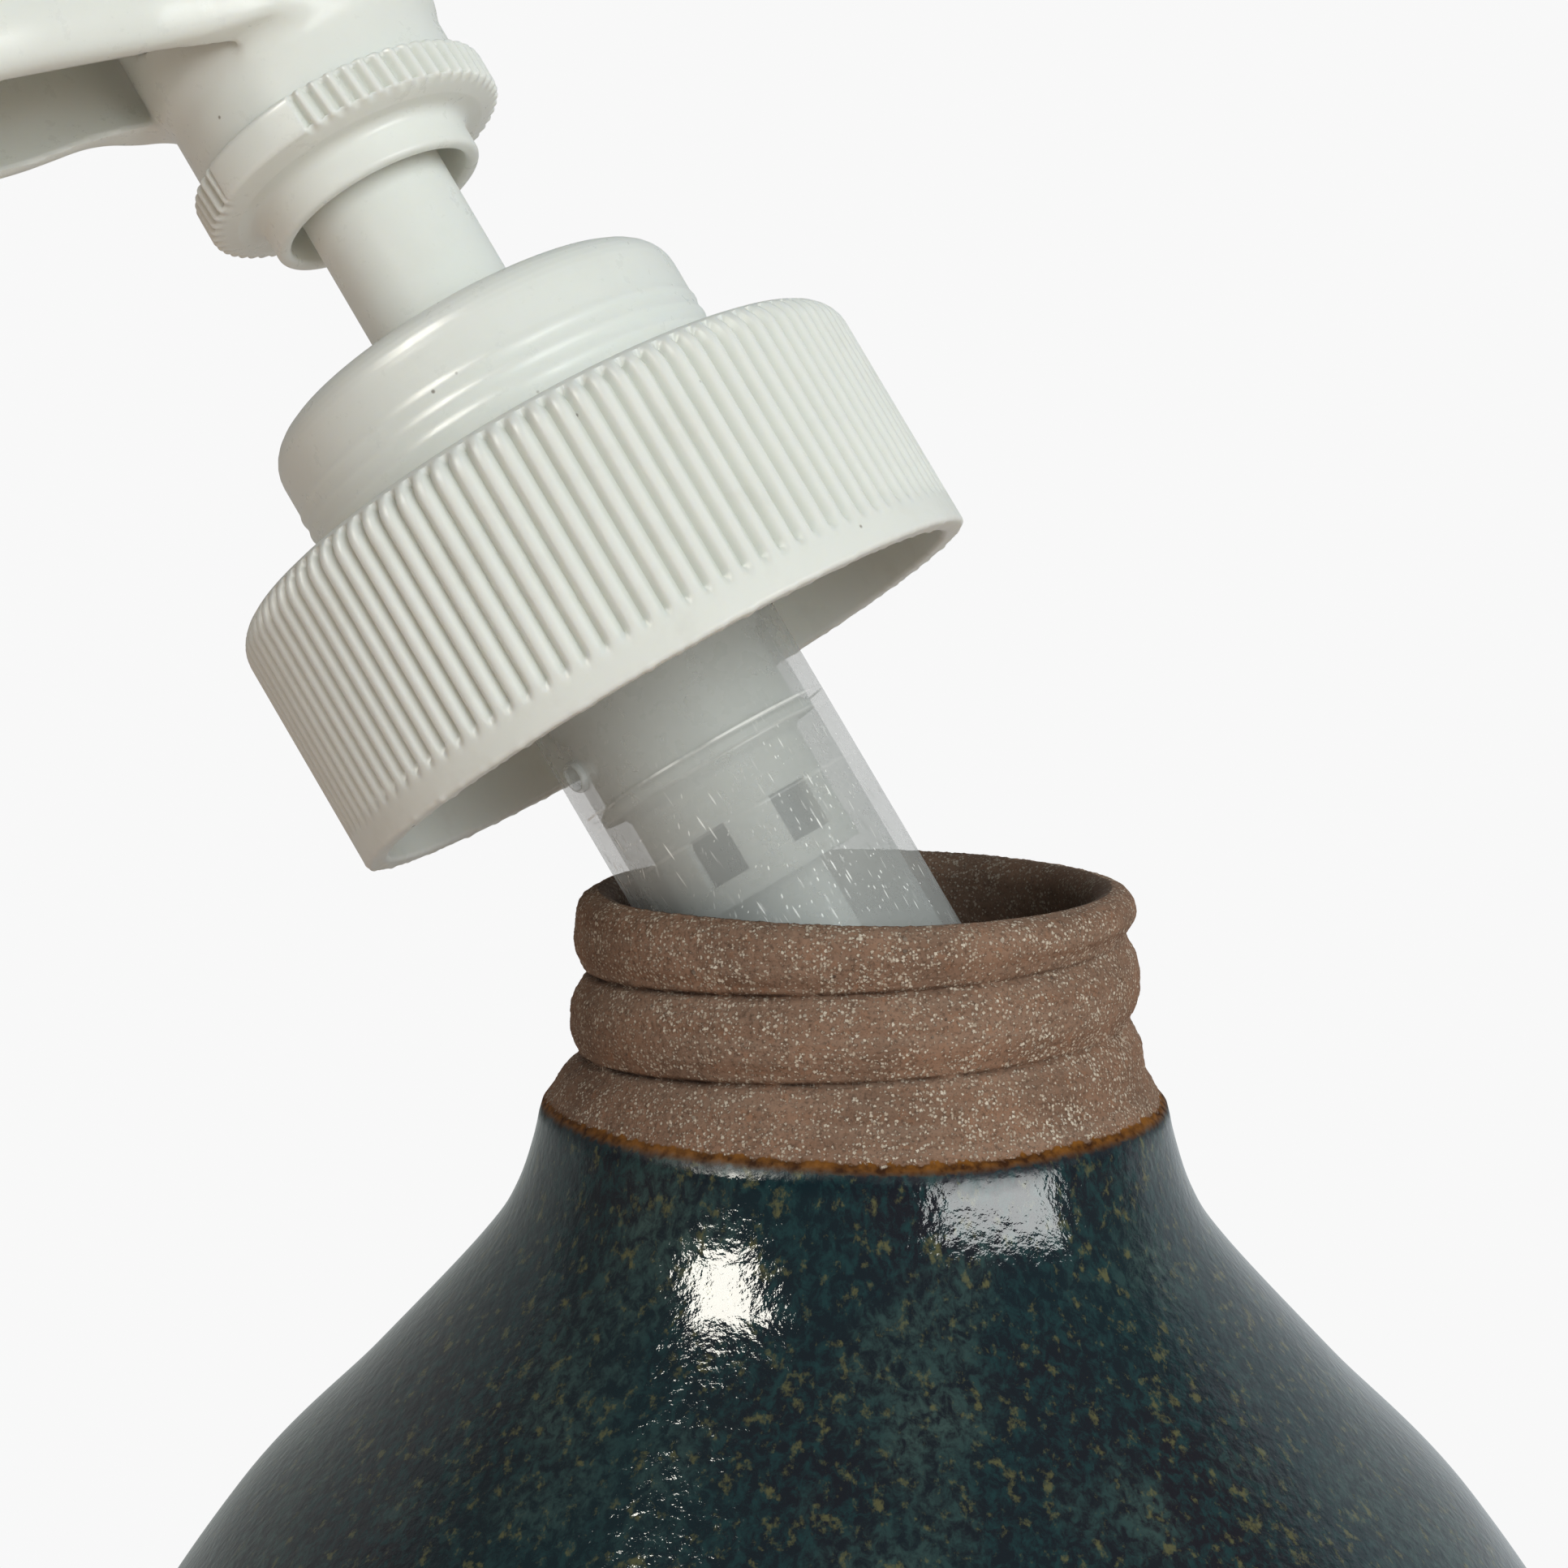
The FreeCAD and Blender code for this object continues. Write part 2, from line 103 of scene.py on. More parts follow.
RING_WIDTH = 0.28
SPIGOT_RADIUS = 12.4
GUIDE_BOTTOM = -9.95        # lower end of the tube that guides the stem
STEM_BORE = 3.2
PISTON_TOP = -10.0
PISTON_BOTTOM = -21.0
HOUSING_RADIUS = 9.2
VENT_HEIGHT = -15.2
VENT_BEARING = -53.0        # degrees from the front (-Y) towards +X
VENT_RADIUS = 0.8
VENT_LIP_RADIUS = 1.1
VENT_LIP_HEIGHT = 0.35
SPOUT_BEARING = -45.0       # degrees from the front (-Y) towards +X
KNURL_TEETH = 60
KNURL_DEPTH = 0.55
SKIRT_BOTTOM = 25.1
SKIRT_RADIUS = 7.7
HEAD_FLANGE = 10.95
HEAD_FLANGE_BOTTOM = 28.3
HEAD_FLANGE_TOP = 31.0
SOCKET_RADIUS = 5.25        # takes the top of the stem
SOCKET_TOP = 34.2
CONDUIT_HEIGHT = 42.2
CONDUIT_RADIUS = 2.5
RISER_RADIUS = 2.0          # bore from the socket up to the conduit
RISER_TOP = 43.5
PLAIN_MIDDLE = 20.0         # bearing of the flange's smooth part, from the spout's
PLAIN_HALF_ANGLE = 21.0
HOOD_WIDTH = 16.6
HOOD_WALL = 1.4
HOOD_BOTTOM = 36.2
HOOD_FILLET = 6.5
HOOD_DROP = 0.6             # the near open edge comes down this much beside the boss
HOOD_RISE = 1.3             # the far one goes up this much
HOOD_ROLL = 3.4             # height over which the wall turns in to the open edge
HOOD_TUCK = 1.5
HOOD_TAPER = 1.6            # the hood is this much narrower, each side, at its tip
SPOUT_REACH = 40.8
BOSS_RADIUS = 9.7
BOSS_BOTTOM = 30.4
CREST_ROUNDING = 4.2        # between the head's top and its sides
SPRING_TURNS = 7
WIRE_RADIUS = 0.4

# ---- camera, from the middle of the rim ----
EYE_FROM_RIM = Vector((-4.82, -165.67, 23.0)) * MM
EYE_PITCH = 5.59            # degrees below the horizon
LENS = 55.9                 # focal length in mm on a sensor 36 mm wide

# ---- set ----
BACKDROP = 0.94             # brightness of the white behind the object
FLOOR_RADIUS = 6.0          # metres, as are the next two
PAPER_NEAR = 0.07           # the paper starts to turn white this far out
PAPER_FAR = 0.20
PAPER_GLOW = 0.45           # share of plain white in the paper beside the object
BOUNCE = 0.49               # strength of the warm light from below


# ---------------------------------------------------------------- the frame's own places
def joint(name):
    return next(j for j in frame["joints"] if j["name"] == name)


def pump_matrix():
    """Pump axes: +Z up the stem, -Y to the front, origin on the sealing face."""
    axis = Vector(joint("head_press")["axis"])
    point = Vector(joint("closure_spin")["pos_m"])
    face = min((v.co - point).dot(axis) for v in nodes["neck_gasket"].data.vertices)
    sideways = Matrix.Rotation(math.atan2(axis.x, axis.z), 4, "Y")
    forward = Matrix.Rotation(-math.asin(axis.y), 4, "X")
    return Matrix.Translation(point + axis * face) @ sideways @ forward


PUMP = pump_matrix()
HEAD = PUMP @ Matrix.Rotation(math.radians(SPOUT_BEARING - 90.0), 4, "Z")


def span(node):
    """(largest radius, lowest, highest) of a node about the pump's axis, in mm."""
    into = PUMP.inverted()
    points = [into @ v.co / MM for v in nodes[node].data.vertices]
    heights = [p.z for p in points]
    return max(math.hypot(p.x, p.y) for p in points), min(heights), max(heights)


# ---------------------------------------------------------------- mesh tools
def smoothstep(low, high, value):
    t = np.clip((value - low) / (high - low), 0.0, 1.0)
    return t * t * (3.0 - 2.0 * t)


def rounded(corners, steps=5):
    """Closed outline from (radius, height, rounding) corners, with an arc at each."""
    points = []
    for i, (r, z, size) in enumerate(corners):
        here = np.array((r, z))
        if size == 0:
            points.append(here)
            continue
        before = np.array(corners[i - 1][:2]) - here
        after = np.array(corners[(i + 1) % len(corners)][:2]) - here
        before = before / np.linalg.norm(before)
        after = after / np.linalg.norm(after)
        half = 0.5 * math.acos(np.clip(before @ after, -1.0, 1.0))
        middle = before + after
        centre = here + middle / np.linalg.norm(middle) * size / math.sin(half)
        start = here + before * size / math.tan(half) - centre
        end = here + after * size / math.tan(half) - centre
        sweep = math.pi - 2.0 * half
        for k in range(steps + 1):
            part = sweep * k / steps
            points.append(
                centre + (start * math.sin(sweep - part) + end * math.sin(part)) / math.sin(sweep)
            )
    return np.array(points)


def spaced(points, spacing, closed=True):
    """The same outline with extra points on stretches longer than a spacing."""
    points = np.asarray(points, float)
    ends = np.roll(points, -1, axis=0) if closed else points[1:]
    made = []
    for a, b in zip(points, ends):
        parts = max(1, int(math.ceil(np.linalg.norm(b - a) / spacing)))
        made += [a + (b - a) * k / parts for k in range(parts)]
    if not closed:
        made.append(points[-1])
    return np.array(made)


def smooth_line(points, spacing):
    """A soft curve through the points, about one spacing between its own."""
    points = np.asarray(points, float)
    padded = np.vstack((2 * points[0] - points[1], points, 2 * points[-1] - points[-2]))
    made = []
    for p, a, b, n in zip(padded, padded[1:], padded[2:], padded[3:]):
        parts = max(2, int(math.ceil(np.linalg.norm(b - a) / spacing)))
        for k in range(parts):
            t = k / parts
            made.append(0.5 * (2 * a + (b - p) * t + (2 * p - 5 * a + 4 * b - n) * t * t
                               + (3 * a - p - 3 * b + n) * t ** 3))
    made.append(points[-1])
    return np.array(made)


def outline_normals(outline, closed):
    """Unit normals to the right of the outline's direction."""
    if closed:
        along = np.roll(outline, -1, axis=0) - np.roll(outline, 1, axis=0)
    else:
        along = np.gradient(outline, axis=0)
    length = np.maximum(np.linalg.norm(along, axis=1), 1e-9)
    return np.stack((along[:, 1], -along[:, 0]), axis=1) / length[:, None]


def finished_mesh(name, points, faces, sharp=35.0, groove=None):
    """A smooth-shaded mesh from points in mm, with outward normals."""
    mesh = bpy.data.meshes.new(name)
    mesh.from_pydata((np.asarray(points) * MM).tolist(), [], faces)
    # the groove attribute carries sunk depth, which the white plastic turns into painted shade in the
    # grooves
    if groove is not None:
        sunk = mesh.attributes.new("groove", "FLOAT", "POINT")
        sunk.data.foreach_set("value", groove.ravel().astype(np.float32))
    work = bmesh.new()
    work.from_mesh(mesh)
    bmesh.ops.remove_doubles(work, verts=work.verts, dist=1e-7)
    bmesh.ops.recalc_face_normals(work, faces=work.faces)
    work.to_mesh(mesh)
    work.free()
    mesh.shade_smooth()
    mesh.set_sharp_from_angle(angle=math.radians(sharp))
    return mesh


def lathe(name, outline, steps, relief=None, closed=True, sharp=35.0):
    """A turned body from an outline of (radius, height) that runs anticlockwise.

    relief(radius, height, bearing, normal_out) gives mm to add along the normal.
    """
    normals = outline_normals(outline, closed)
    bearing = np.linspace(0.0, 2.0 * math.pi, steps, endpoint=False)[None, :]
    radius = np.repeat(outline[:, :1], steps, axis=1)
    height = np.repeat(outline[:, 1:], steps, axis=1)
    groove = None
    if relief is not None:
        raised = relief(radius, height, bearing, normals[:, :1]) + np.zeros_like(radius)
        # how deep the relief sinks each point, kept as the groove attribute for the plastic's painted
        # shade in the grooves
        groove = np.maximum(-raised, 0.0)
        radius = radius + raised * normals[:, :1]
        height = height + raised * normals[:, 1:]
    points = np.stack((radius * np.sin(bearing), -radius * np.cos(bearing), height), axis=-1)
    rows = len(outline)
    first = np.arange(rows if closed else rows - 1)[:, None]
    column = np.arange(steps)[None, :]
    after = (first + 1) % rows
    beside = (column + 1) % steps
    faces = np.stack(
        (first * steps + column, first * steps + beside,
         after * steps + beside, after * steps + column), axis=-1,
    )
    return finished_mesh(name, points.reshape(-1, 3), faces.reshape(-1, 4).tolist(), sharp, groove)


def level_surface(name, field, low, high, step):
    """Surface nets round the zero level of a distance field, drawn onto the level."""
    low = np.array(low, float)
    ranges = [np.arange(a, b + step, step) for a, b in zip(low, high)]
    value = field(*np.meshgrid(*ranges, indexing="ij"))
    inside = value < 0
    cells = np.array(value.shape) - 1
    corners = [np.array((i, j, k)) for i in (0, 1) for j in (0, 1) for k in (0, 1)]
    filled = sum(
        inside[c[0]:c[0] + cells[0], c[1]:c[1] + cells[1], c[2]:c[2] + cells[2]].astype(np.int8)
        for c in corners
    )
    mixed = (filled > 0) & (filled < 8)
    cell = np.argwhere(mixed)
    index = np.full(mixed.shape, -1)
    index[mixed] = np.arange(len(cell))
    total = np.zeros((len(cell), 3))
    hits = np.zeros((len(cell), 1))
    for a in corners:
        for b in corners:
            if np.abs(b - a).sum() != 1 or (b - a).sum() < 0:
                continue
            va = value[tuple((cell + a).T)]
            vb = value[tuple((cell + b).T)]
            crossing = ((va < 0) != (vb < 0))[:, None]
            share = (va / np.where(va == vb, 1.0, va - vb))[:, None]
            total += crossing * (a + share * (b - a))
            hits += crossing
    points = low + (cell + total / hits) * step
    probe = 0.02
    for _ in range(3):
        x, y, z = points.T
        here = field(x, y, z)
        slope = np.stack((field(x + probe, y, z) - field(x - probe, y, z),
                          field(x, y + probe, z) - field(x, y - probe, z),
                          field(x, y, z + probe) - field(x, y, z - probe)), axis=1) / (2 * probe)
        size = np.maximum((slope ** 2).sum(axis=1), 0.25)
        points = points - np.clip(here / size, -0.5 * step, 0.5 * step)[:, None] * slope
    faces = []
    for d in range(3):
        u, v = np.eye(3, dtype=int)[(d + 1) % 3], np.eye(3, dtype=int)[(d + 2) % 3]
        ahead = np.eye(3, dtype=int)[d]
        near = inside[tuple(slice(0, n - k) for n, k in zip(inside.shape, ahead))]
        far = inside[tuple(slice(k, None) for k in ahead)]
        edge = np.argwhere(near != far)
        edge = edge[(edge @ u > 0) & (edge @ v > 0) & (edge @ u < cells @ u) & (edge @ v < cells @ v)]
        quad = [index[tuple((edge - shift).T)] for shift in (0 * u, u, u + v, v)]
        faces.append(np.stack(quad, axis=1))
    return finished_mesh(name, points, np.vstack(faces).tolist(), sharp=60.0)


def piece(name, mesh, material, body, slot, place, *replaced):
    """Link a finished mesh, ride it on its body and hide the CAD nodes it stands for."""
    mesh.transform(place)
    obj = bpy.data.objects.new(name, mesh)
    bpy.context.scene.collection.objects.link(obj)
    mesh.materials.append(material)
    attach(obj, body)
    if replaced:
        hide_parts(*replaced)
    return obj


# ---------------------------------------------------------------- material tools
class Nodes:
    """Short ways to add nodes to a material's tree or the world's."""

    def __init__(self, tree):
        self.tree = tree

    def put(self, node, socket, value):
        if isinstance(value, bpy.types.NodeSocket):
            self.tree.links.new(value, node.inputs[socket])
        else:
            node.inputs[socket].default_value = value

    def add(self, kind, inputs, **settings):
        node = self.tree.nodes.new("ShaderNode" + kind)
        for key, value in settings.items():
            setattr(node, key, value)
        for socket, value in inputs.items():
            self.put(node, socket, value)
        return node

    def ramp(self, value, low, high, out_low=0.0, out_high=1.0):
        return self.add("MapRange", {"Value": value, "From Min": low, "From Max": high,
                                     "To Min": out_low, "To Max": out_high}).outputs[0]

    def math(self, operation, a, b=0.0):
        return self.add("Math", {0: a, 1: b}, operation=operation).outputs[0]

    def mix(self, factor, a, b):
        node = self.add("Mix", {"Factor": factor, "A": a, "B": b}, data_type="RGBA")
        return node.outputs["Result"]


class Shading(Nodes):
    """A new material with its Principled shader, and patterns sized in millimetres."""

    def __init__(self, name, axes=Matrix(), **values):
        self.material = bpy.data.materials.new(name)
        self.material.use_nodes = True
        super().__init__(self.material.node_tree)
        self.shader = self.tree.nodes["Principled BSDF"]
        place = self.tree.nodes.new("ShaderNodeTexCoord").outputs["Object"]
        own = self.add("Mapping", {"Vector": place, "Location": axes.translation,
                                   "Rotation": axes.to_euler()}, vector_type="TEXTURE")
        self.place = own.outputs[0]
        for socket, value in values.items():
            self.put(self.shader, socket.replace("_", " "), value)

    def scaled(self, per_mm, turn=(0.0, 0.0, 0.0)):
        """Object place times so many cells per mm along each axis, after a turn."""
        node = self.add("Mapping", {"Vector": self.place, "Rotation": turn}, vector_type="POINT")
        stretch = self.add("VectorMath", {0: node.outputs[0], 1: [s / MM for s in per_mm]},
                           operation="MULTIPLY")
        return stretch.outputs[0]

    def noise(self, per_mm, detail=2.0, rough=0.5, distortion=0.0):
        per_mm = per_mm if isinstance(per_mm, tuple) else (per_mm,) * 3
        return self.add("TexNoise", {"Vector": self.scaled(per_mm), "Scale": 1.0, "Detail": detail,
                                     "Roughness": rough, "Distortion": distortion}).outputs["Fac"]

    def cells(self, vector, randomness=1.0):
        return self.add("TexVoronoi", {"Vector": vector, "Scale": 1.0, "Randomness": randomness})

    def bump(self, height, depth_mm, normal=None):
        inputs = {"Height": height, "Distance": depth_mm * MM, "Strength": 1.0}
        if normal is not None:
            inputs["Normal"] = normal
        return self.add("Bump", inputs).outputs[0]


def rgba(red, green, blue):
    return (red, green, blue, 1.0)


# ---------------------------------------------------------------- materials
def white_plastic(name, roughness, grime=0.5, lines=0.0):
    """Moulded polypropylene: faint clouding, dust specks, fine surface texture, and painted shade that
    darkens the grooves between ribs and knurl teeth.

    grime scales the film and the specks; lines is the depth in mm of turning marks.
    """
    shaded_white = rgba(0.825, 0.85, 0.81)
    bright_white = rgba(0.845, 0.868, 0.83)
    film_tint = rgba(0.50, 0.47, 0.40)
    groove_shade_tint = rgba(0.50, 0.51, 0.45)
    dust = rgba(0.16, 0.13, 0.10)
    s = Shading(name, PUMP, Subsurface_Weight=0.4, Subsurface_Scale=0.0012, Specular_IOR_Level=0.38)
    s.shader.inputs["Subsurface Radius"].default_value = (1.0, 0.9, 0.75)
    cloud = s.ramp(s.noise(0.12, 3.0), 0.35, 0.7)
    colour = s.mix(cloud, shaded_white, bright_white)
    film = s.math("MULTIPLY", s.ramp(s.noise(0.35, 3.0, 0.6), 0.54, 0.80), 0.16 * grime)
    colour = s.mix(film, colour, film_tint)
    # painted shade: darker colour in the grooves between the cap's ribs and the flange's knurl teeth,
    # by how deep the relief is sunk there
    groove = s.add("Attribute", {}, attribute_name="groove").outputs["Fac"]
    colour = s.mix(s.math("MULTIPLY", groove, 0.7), colour, groove_shade_tint)
    speck = s.cells(s.scaled((0.55, 0.55, 0.55)))
    chosen = s.math("GREATER_THAN", s.add("SeparateColor", {0: speck.outputs["Color"]}).outputs[0],
                    1.0 - 0.12 * grime)
    dot = s.math("MULTIPLY", s.ramp(speck.outputs["Distance"], 0.09, 0.04), chosen)
    colour = s.mix(s.math("MULTIPLY", dot, 0.75), colour, dust)
    s.put(s.shader, "Base Color", colour)
    wear = s.noise((0.7, 0.7, 0.7), 5.0, 0.7)
    s.put(s.shader, "Roughness", s.ramp(wear, 0.3, 0.75, roughness - 0.06, roughness + 0.12))
    normal = s.bump(s.noise(2.2, 3.0, 0.5), 0.006)
    if lines:
        normal = s.bump(s.noise((0.02, 0.02, 2.6), 3.0, 0.6), lines, normal)
    s.put(s.shader, "Normal", normal)
    return s.material


def scratches(s):
    """Shares, 0 to 1: long, short and crossing scratches from stretched cells."""
    kinds = (
        ((3.2, 3.2, 0.22), (0.10, 0.06, 0.0), 0.24, 0.5),
        ((3.6, 3.6, 1.6), (-0.5, -0.7, 0.6), 0.26, 0.08),
        ((3.2, 3.2, 0.30), (-0.35, -0.25, 0.0), 0.24, 0.3),
    )
    marks = 0.0
    for per_mm, turn, width, share in kinds:
        cell = s.cells(s.scaled(per_mm, turn))
        pick = s.add("SeparateColor", {0: cell.outputs["Color"]}).outputs[1]
        kept = s.math("LESS_THAN", pick, share)
        mark = s.math("MULTIPLY", s.ramp(cell.outputs["Distance"], width, 0.6 * width), kept)
        marks = s.math("MAXIMUM", marks, mark)
    return marks


def ring_lines(s, height):
    """Shares, 0 to 1: thin lines round the housing, as (height in mm, strength)."""
    lines = 0.0
    for level, strength in ((-17.9, 0.8), (-18.9, 0.45), (-22.8, 0.35)):
        away = s.math("ABSOLUTE", s.math("SUBTRACT", height, level * MM))
        line = s.math("MULTIPLY", s.ramp(away, 0.16 * MM, 0.05 * MM), strength)
        lines = s.math("MAXIMUM", lines, line)
    return lines


def frosted_plastic():
    """Natural polypropylene: milky, half see-through, with fine white scratches."""
    milky = rgba(0.60, 0.625, 0.61)
    scratch_white = rgba(0.97, 0.98, 0.96)
    s = Shading("frosted_plastic", PUMP, Specular_IOR_Level=0.5)
    height = s.add("SeparateXYZ", {0: s.place}).outputs["Z"]
    low_down = s.ramp(height, -16.0 * MM, -25.0 * MM)
    worn = s.ramp(s.math("ADD", s.noise(0.15, 2.0), s.math("MULTIPLY", low_down, 0.25)), 0.5, 0.8)
    ring = ring_lines(s, height)
    broken_ring = s.math("MULTIPLY", ring, s.ramp(s.noise(0.3, 3.0), 0.35, 0.6))
    scratch = s.math("MAXIMUM", s.math("MULTIPLY", scratches(s), worn), broken_ring)
    haze = s.ramp(s.noise(0.3, 3.0, 0.5), 0.3, 0.8, 0.35, 0.40)
    s.put(s.shader, "Alpha", s.math("MAXIMUM", haze, s.math("MULTIPLY", scratch, 0.95)))
    s.put(s.shader, "Base Color", s.mix(scratch, milky, scratch_white))
    s.put(s.shader, "Roughness", s.ramp(s.noise(0.8, 4.0), 0.3, 0.7, 0.2, 0.38))
    s.put(s.shader, "Normal", s.bump(ring, 0.05, s.bump(s.noise(1.4, 4.0, 0.6), 0.02)))
    return s.material


def clay(s, depth):
    """Colour and height of the bare clay: wheel bands, rust, flecks, pebbles and creases, with painted
    shade in tiny pits, along the creases and down the bore.
    """
    dark = rgba(0.215, 0.130, 0.088)
    light = rgba(0.315, 0.185, 0.122)
    dusty = rgba(0.33, 0.235, 0.175)
    rusty = rgba(0.36, 0.17, 0.09)
    hollow = rgba(0.045, 0.028, 0.020)
    crease_shadow = rgba(0.020, 0.012, 0.010)
    bore_shadow = rgba(0.06, 0.042, 0.033)
    body = s.mix(s.ramp(s.noise(0.18, 3.0, 0.6), 0.35, 0.65), dark, light)
    bands = s.ramp(s.noise((0.05, 0.05, 1.1), 4.0, 0.65), 0.42, 0.72)
    body = s.mix(s.math("MULTIPLY", bands, 0.55), body, dusty)
    rust = s.ramp(s.noise(1.1, 3.0, 0.6), 0.58, 0.75)
    body = s.mix(s.math("MULTIPLY", rust, 0.45), body, rusty)
    warp = s.add("TexNoise", {"Vector": s.scaled((5.0, 5.0, 5.0)), "Scale": 2.0}).outputs["Color"]
    warped = s.add("VectorMath", {0: s.scaled((4.6, 4.6, 4.6)), 1: warp}, operation="ADD")
    small = s.cells(warped.outputs[0])
    large = s.cells(s.scaled((1.15, 1.15, 1.15)))
    grain = s.add("SeparateColor", {0: small.outputs["Color"]})
    size = s.math("MULTIPLY", s.ramp(grain.outputs[0], 0.1, 1.0, 0.16, 0.62),
                  s.ramp(s.noise(0.5, 3.0), 0.35, 0.65, 0.7, 1.15))
    fleck = s.ramp(s.math("SUBTRACT", size, small.outputs["Distance"]), 0.0, 0.10)
    fleck_tint = s.mix(grain.outputs[1], rgba(0.80, 0.72, 0.60), rgba(0.46, 0.35, 0.26))
    stone = s.add("SeparateColor", {0: large.outputs["Color"]})
    stone_size = s.ramp(stone.outputs[0], 0.55, 1.0, 0.0, 0.22)
    pebble = s.ramp(s.math("SUBTRACT", stone_size, large.outputs["Distance"]), 0.0, 0.06)
    pebble_tint = s.mix(stone.outputs[2], rgba(0.55, 0.47, 0.38), rgba(0.05, 0.03, 0.022))
    # painted shade: dark spots in the hollow colour that stand for the shadow in tiny pits the mesh
    # doesn't have
    pit_shade = s.ramp(s.noise(4.2, 4.0, 0.7), 0.50, 0.36)
    body = s.mix(s.math("MULTIPLY", pit_shade, 0.55), body, hollow)
    body = s.mix(s.math("MULTIPLY", fleck, 0.85), body, fleck_tint)
    body = s.mix(s.math("MULTIPLY", pebble, 0.8), body, pebble_tint)
    crease = s.add("Attribute", {}, attribute_name="crease").outputs["Fac"]
    line = s.math("MULTIPLY", crease, s.ramp(s.noise(0.45, 3.0), 0.34, 0.52))
    body = s.mix(s.math("MULTIPLY", line, 0.85), body, crease_shadow)
    bore = s.ramp(depth, 0.6 * INSIDE, 0.8 * INSIDE)
    body = s.mix(s.math("MULTIPLY", bore, 0.6), body, bore_shadow)
    grit = s.math("MULTIPLY", s.math("MAXIMUM", fleck, pebble), 0.6)
    grit = s.math("ADD", grit, s.noise(3.2, 5.0, 0.7))
    return body, s.math("ADD", grit, s.math("MULTIPLY", bands, 0.5))


def glaze_skin(s, ragged):
    """Colour and height of the glaze: mottled teal, ochre specks, amber where it is thin."""
    deep = rgba(0.0020, 0.0165, 0.0235)
    violet = rgba(0.0085, 0.0095, 0.0160)
    teal = rgba(0.010, 0.040, 0.045)
    mist = rgba(0.060, 0.100, 0.090)
    speck = rgba(0.135, 0.130, 0.055)
    drip = s.noise((1.25, 1.25, 0.8), 6.0, 0.72, 0.4)
    glaze = s.mix(s.ramp(s.noise(0.045, 2.0), 0.40, 0.62), deep, violet)
    glaze = s.mix(s.ramp(drip, 0.46, 0.62), glaze, teal)
    pale = s.math("MULTIPLY", s.ramp(s.noise(0.10, 3.0), 0.46, 0.70), s.ramp(drip, 0.40, 0.60))
    glaze = s.mix(s.math("MULTIPLY", pale, 0.7), glaze, mist)
    ochre = s.ramp(s.noise((1.0, 1.0, 0.7), 5.0, 0.66), 0.565, 0.67)
    glaze = s.mix(s.math("MULTIPLY", ochre, 0.75), glaze, speck)
    amber = s.mix(s.ramp(s.noise(1.3, 4.0), 0.35, 0.65), rgba(0.04, 0.013, 0.003),
                  rgba(0.22, 0.085, 0.013))
    glaze = s.mix(s.ramp(ragged, 0.78, 0.42), glaze, amber)
    ripple = s.math("ADD", s.math("MULTIPLY", s.noise(1.5, 3.0, 0.55), 0.55),
                    s.math("MULTIPLY", s.noise(0.5, 2.0), 0.5))
    return glaze, ripple


def stoneware():
    """Bare grogged clay, and where the glaze attribute is above zero, a mottled glaze."""
    s = Shading("stoneware")
    depth = s.add("Attribute", {}, attribute_name="glaze").outputs["Fac"]
    ragged = s.math("ADD", depth, s.ramp(s.noise(1.3, 4.0, 0.6), 0.2, 0.8, -0.3, 0.3))
    glazed = s.ramp(ragged, 0.0, 0.12)
    clay_colour, clay_height = clay(s, depth)
    glaze_colour, glaze_height = glaze_skin(s, ragged)
    s.put(s.shader, "Base Color", s.mix(glazed, clay_colour, glaze_colour))
    s.put(s.shader, "Roughness", s.ramp(ragged, 0.2, 1.4, 0.75, 0.07))
    s.put(s.shader, "Specular IOR Level", s.ramp(ragged, 0.3, 2.2, 0.08, 0.5))
    height = s.add("Mix", {"Factor": glazed, "A": clay_height, "B": glaze_height},
                   data_type="FLOAT").outputs["Result"]
    s.put(s.shader, "Normal", s.bump(height, 0.09))
    return s.material


def dull_surface(name, dark, light):
    """A plain, faintly mottled surface for the small pieces inside the pump."""
    s = Shading(name, PUMP, Specular_IOR_Level=0.4)
    s.put(s.shader, "Base Color", s.mix(s.ramp(s.noise(0.6, 4.0), 0.3, 0.7), dark, light))
    s.put(s.shader, "Roughness", s.ramp(s.noise(1.5, 3.0), 0.3, 0.7, 0.45, 0.65))
    s.put(s.shader, "Normal", s.bump(s.noise(4.0, 3.0), 0.015))
    return s.material


def spring_steel():
    """Drawn wire, streaked along the pump."""
    s = Shading("spring_steel", PUMP, Metallic=1.0)
    drawn = s.noise((0.4, 0.4, 6.0), 4.0, 0.6)
    s.put(s.shader, "Base Color", s.mix(s.ramp(drawn, 0.3, 0.7), rgba(0.42, 0.41, 0.40),
                                        rgba(0.60, 0.59, 0.57)))
    s.put(s.shader, "Roughness", s.ramp(drawn, 0.3, 0.7, 0.2, 0.38))
    s.put(s.shader, "Normal", s.bump(drawn, 0.006))
    return s.material


def woven_mesh():
    """Plain-woven nylon: two crossed sets of threads."""
    s = Shading("nylon_mesh", PUMP, Roughness=0.5)
    threads = []
    for axis in ("X", "Y"):
        wave = s.add("TexWave", {"Vector": s.scaled((2.0, 2.0, 2.0)), "Scale": 1.0},
                     wave_type="BANDS", bands_direction=axis)
        threads.append(wave.outputs["Fac"])
    weave = s.math("MAXIMUM", threads[0], threads[1])
    s.put(s.shader, "Base Color", s.mix(weave, rgba(0.10, 0.10, 0.10), rgba(0.74, 0.75, 0.72)))
    s.put(s.shader, "Normal", s.bump(weave, 0.05))
    return s.material


